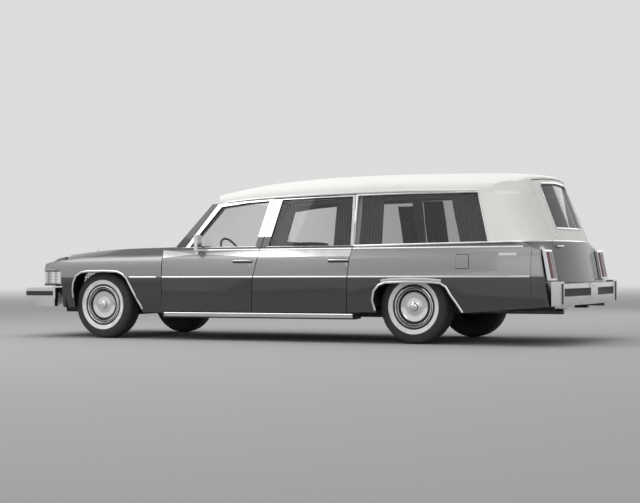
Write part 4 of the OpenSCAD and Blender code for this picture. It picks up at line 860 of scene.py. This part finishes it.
def cushion(name, points, swell):
    """A rounded pad inside its solid's hull; the simulation crowns its faces between the seams."""
    mesh = bpy.data.meshes.new(name)
    bm = bmesh.new()
    for p in points:
        bm.verts.new(p)
    hull = bmesh.ops.convex_hull(bm, input=bm.verts)
    bmesh.ops.delete(bm, geom=list({g for g in hull["geom_interior"] + hull["geom_unused"] if isinstance(g,
        bmesh.types.BMVert)}), context="VERTS")
    bmesh.ops.dissolve_limit(bm, angle_limit=0.02, verts=bm.verts, edges=bm.edges)
    bmesh.ops.bevel(bm, geom=bm.edges[:], offset=0.035, segments=3, affect="EDGES", profile=0.5)
    middle = sum((v.co for v in bm.verts), Vector()) / len(bm.verts)
    for v in bm.verts:
        v.co = middle + (v.co - middle) * 0.965
    bm.to_mesh(mesh)
    bm.free()
    mesh.materials.append(seat_cloth.material)
    pad = bpy.data.objects.new(name, mesh)
    bpy.context.scene.collection.objects.link(pad)
    grid = pad.modifiers.new("grid", "REMESH")
    grid.mode, grid.voxel_size, grid.use_smooth_shade = "VOXEL", 0.016, True
    bpy.context.view_layer.objects.active = pad
    with bpy.context.temp_override(object=pad, active_object=pad, selected_objects=[pad]):
        bpy.ops.object.modifier_apply(modifier="grid")
    low = [min(v.co[i] for v in pad.data.vertices) for i in range(3)]
    high = [max(v.co[i] for v in pad.data.vertices) for i in range(3)]
    pins = pad.vertex_groups.new(name="seam")
    for v in pad.data.vertices:
        held = v.co.z < low[2] + 0.03 or min(abs(v.co.x - low[0]), abs(v.co.x - high[0])) < 0.012
        if held:
            pins.add([v.index], 1.0, "REPLACE")
    cloth = pad.modifiers.new("cloth", "CLOTH")
    cloth.settings.use_pressure, cloth.settings.uniform_pressure_force = True, swell
    cloth.settings.effector_weights.gravity = 0
    cloth.settings.vertex_group_mass = "seam"
    cloth.settings.tension_stiffness = cloth.settings.compression_stiffness = 30
    cloth.settings.quality = 5
    cloth.point_cache.frame_start, cloth.point_cache.frame_end = 1, 14
    for step in range(1, 15):
        bpy.context.scene.frame_set(step)
    swelled = bpy.data.meshes.new_from_object(pad.evaluated_get(bpy.context.evaluated_depsgraph_get()))
    pad.modifiers.clear()
    pad.data = swelled
    bpy.context.scene.frame_set(1)
    limit_low, limit_high = [min(p[i] for p in points) for i in range(3)], [max(p[i] for p in points) for i in range(3)]
    for v in pad.data.vertices:
        for i in range(3):
            v.co[i] = min(max(v.co[i], limit_low[i] + 0.0004), limit_high[i] - 0.0004)
    for face in pad.data.polygons:
        face.use_smooth = True
    pad.data.name = name
    return pad


pads, plain = [], []
for group in parts_of("front_seat"):
    high = max(p.z for p in group)
    size_x = max(p.x for p in group) - min(p.x for p in group)
    (pads if high > 0.67 and size_x > 0.4 else plain).append(group)
for i, group in enumerate(sorted(pads, key=lambda g: (max(p.z for p in g), min(p.x for p in g)))):
    word = ("cushion_right", "cushion_left", "back_right", "back_left")[i % 4]
    pad = put(cushion(f"seat_{word}", group, 3.0), "body")
    if i == 0:
        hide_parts("front_seat")
for i, group in enumerate(plain):
    mesh = bpy.data.meshes.new(f"seat_base_{i}")
    bm = bmesh.new()
    for p in group:
        bm.verts.new(p)
    bmesh.ops.convex_hull(bm, input=bm.verts)
    bmesh.ops.dissolve_limit(bm, angle_limit=0.02, verts=bm.verts, edges=bm.edges)
    bmesh.ops.bevel(bm, geom=bm.edges[:], offset=0.006, segments=2, affect="EDGES")
    bm.to_mesh(mesh)
    bm.free()
    mesh.materials.append(trim.material)
    put(bpy.data.objects.new(f"seat_base_{i}", mesh), "body")

# ---------------------------------------------------------------- cabin
# Padded dashboard with round dials, a two-spoke wheel, carpeted floor, and the load floor:
# varnished boards with bright skid strips and rollers.
carpet = Finish("carpet", (0.05, 0.05, 0.052), 0.95, Sheen_Weight=0.3)
pile = carpet.noise(800.0, 2.0)
carpet.colour(pile, (0.03, 0.03, 0.032), (0.085, 0.084, 0.085))
carpet.bump((pile, 0.6, 0.002))
boards = Finish("varnished_boards", (0.30, 0.19, 0.10), 0.3, 0.0, Coat_Weight=0.6, Coat_Roughness=0.12)
grain = boards.noise(30.0, 6.0, 0.6, (3.0, 0.12, 3.0))
boards.colour(grain, (0.17, 0.10, 0.055), (0.42, 0.29, 0.17))
joint = (boards.x * 7.0).do("FRACT").ramp(0.0, 0.03)
boards.set("Roughness", 0.22 + grain * 0.2)
boards.bump((joint, 0.6, 0.001), (grain, 0.15, 0.0004))
steel = Finish("chassis_black", (0.022, 0.022, 0.022), 0.6, 0.2)
dirt = steel.noise(8.0, 6.0)
steel.colour(dirt.ramp(0.35, 0.75), (0.018, 0.018, 0.018), (0.075, 0.068, 0.058))
steel.set("Roughness", 0.45 + dirt * 0.4)
steel.bump((steel.noise(60.0, 5.0), 0.35, 0.001))
pipe = Finish("exhaust_steel", (0.16, 0.14, 0.12), 0.5, 0.8)
pipe.colour(pipe.noise(11.0, 6.0), (0.09, 0.065, 0.045), (0.26, 0.24, 0.22))
pipe.set("Roughness", 0.35 + pipe.noise(30.0) * 0.4)
pipe.bump((pipe.noise(120.0, 4.0), 0.3, 0.0006))
pressed("dashboard", "dashboard_pad", "body", [trim], edge=0.012)
pressed("steering_wheel", "steering_wheel_rim", "steering_wheel", [dark], edge=0.003)
pressed("floor_pan", "carpeted_floor", "body", [steel, carpet], edge=0,
        paint_by=lambda c, n: int(n.z > 0.5 and c.y > -1.3 and abs(c.x) < 0.9))
pressed("load_floor", "load_boards", "body", [boards, bright, carpet], edge=0.002,
        paint_by=lambda c, n: 1 if c.z > 0.6405 else 0 if n.z > 0.5 else 2)
for node, finish, slot in (("chassis_frame", steel, "black_steel"), ("powertrain", steel, "black_steel"),
    ("rear_axle", steel, "black_steel"),
                           ("front_suspension", steel, "black_steel"), ("fuel_tank", steel, "black_steel"),
                           ("exhaust", pipe, "black_steel")):
    pressed(node, node + "_steel", "body", [finish], edge=0.0 if node == "exhaust" else 0.004)
for word in ("left", "right"):
    pressed(f"knuckle_{word}", f"knuckle_forging_{word}", f"knuckle_{word}", [steel], edge=0.003)

face = skin_of("dashboard")
for i, (x, r) in enumerate(((0.52, 0.058), (0.40, 0.070), (0.28, 0.058), (-0.05, 0.040), (-0.17, 0.040))):
    hit = face.ray_cast(Vector((x, -0.2, 0.868)), Vector((0, -1, 0)))[0]
    if hit is None:
        continue
    for label, outer, depth, finish, slot in (("bezel", r, 0.010, bright, "bright_chrome"),
        ("dial", r * 0.86, 0.012, dark, "dark_plastic")):
        bar(f"{label}_{i}", "body", [(x, hit.y + d, 0.868) for d in (-0.01, depth - 0.003, depth,
            depth - (0.004 if label == "bezel" else 0))],
            [(outer, outer), (outer, outer), (outer * 0.94, outer * 0.94), (outer * 0.1, outer * 0.1)], finish,
                2, 32)
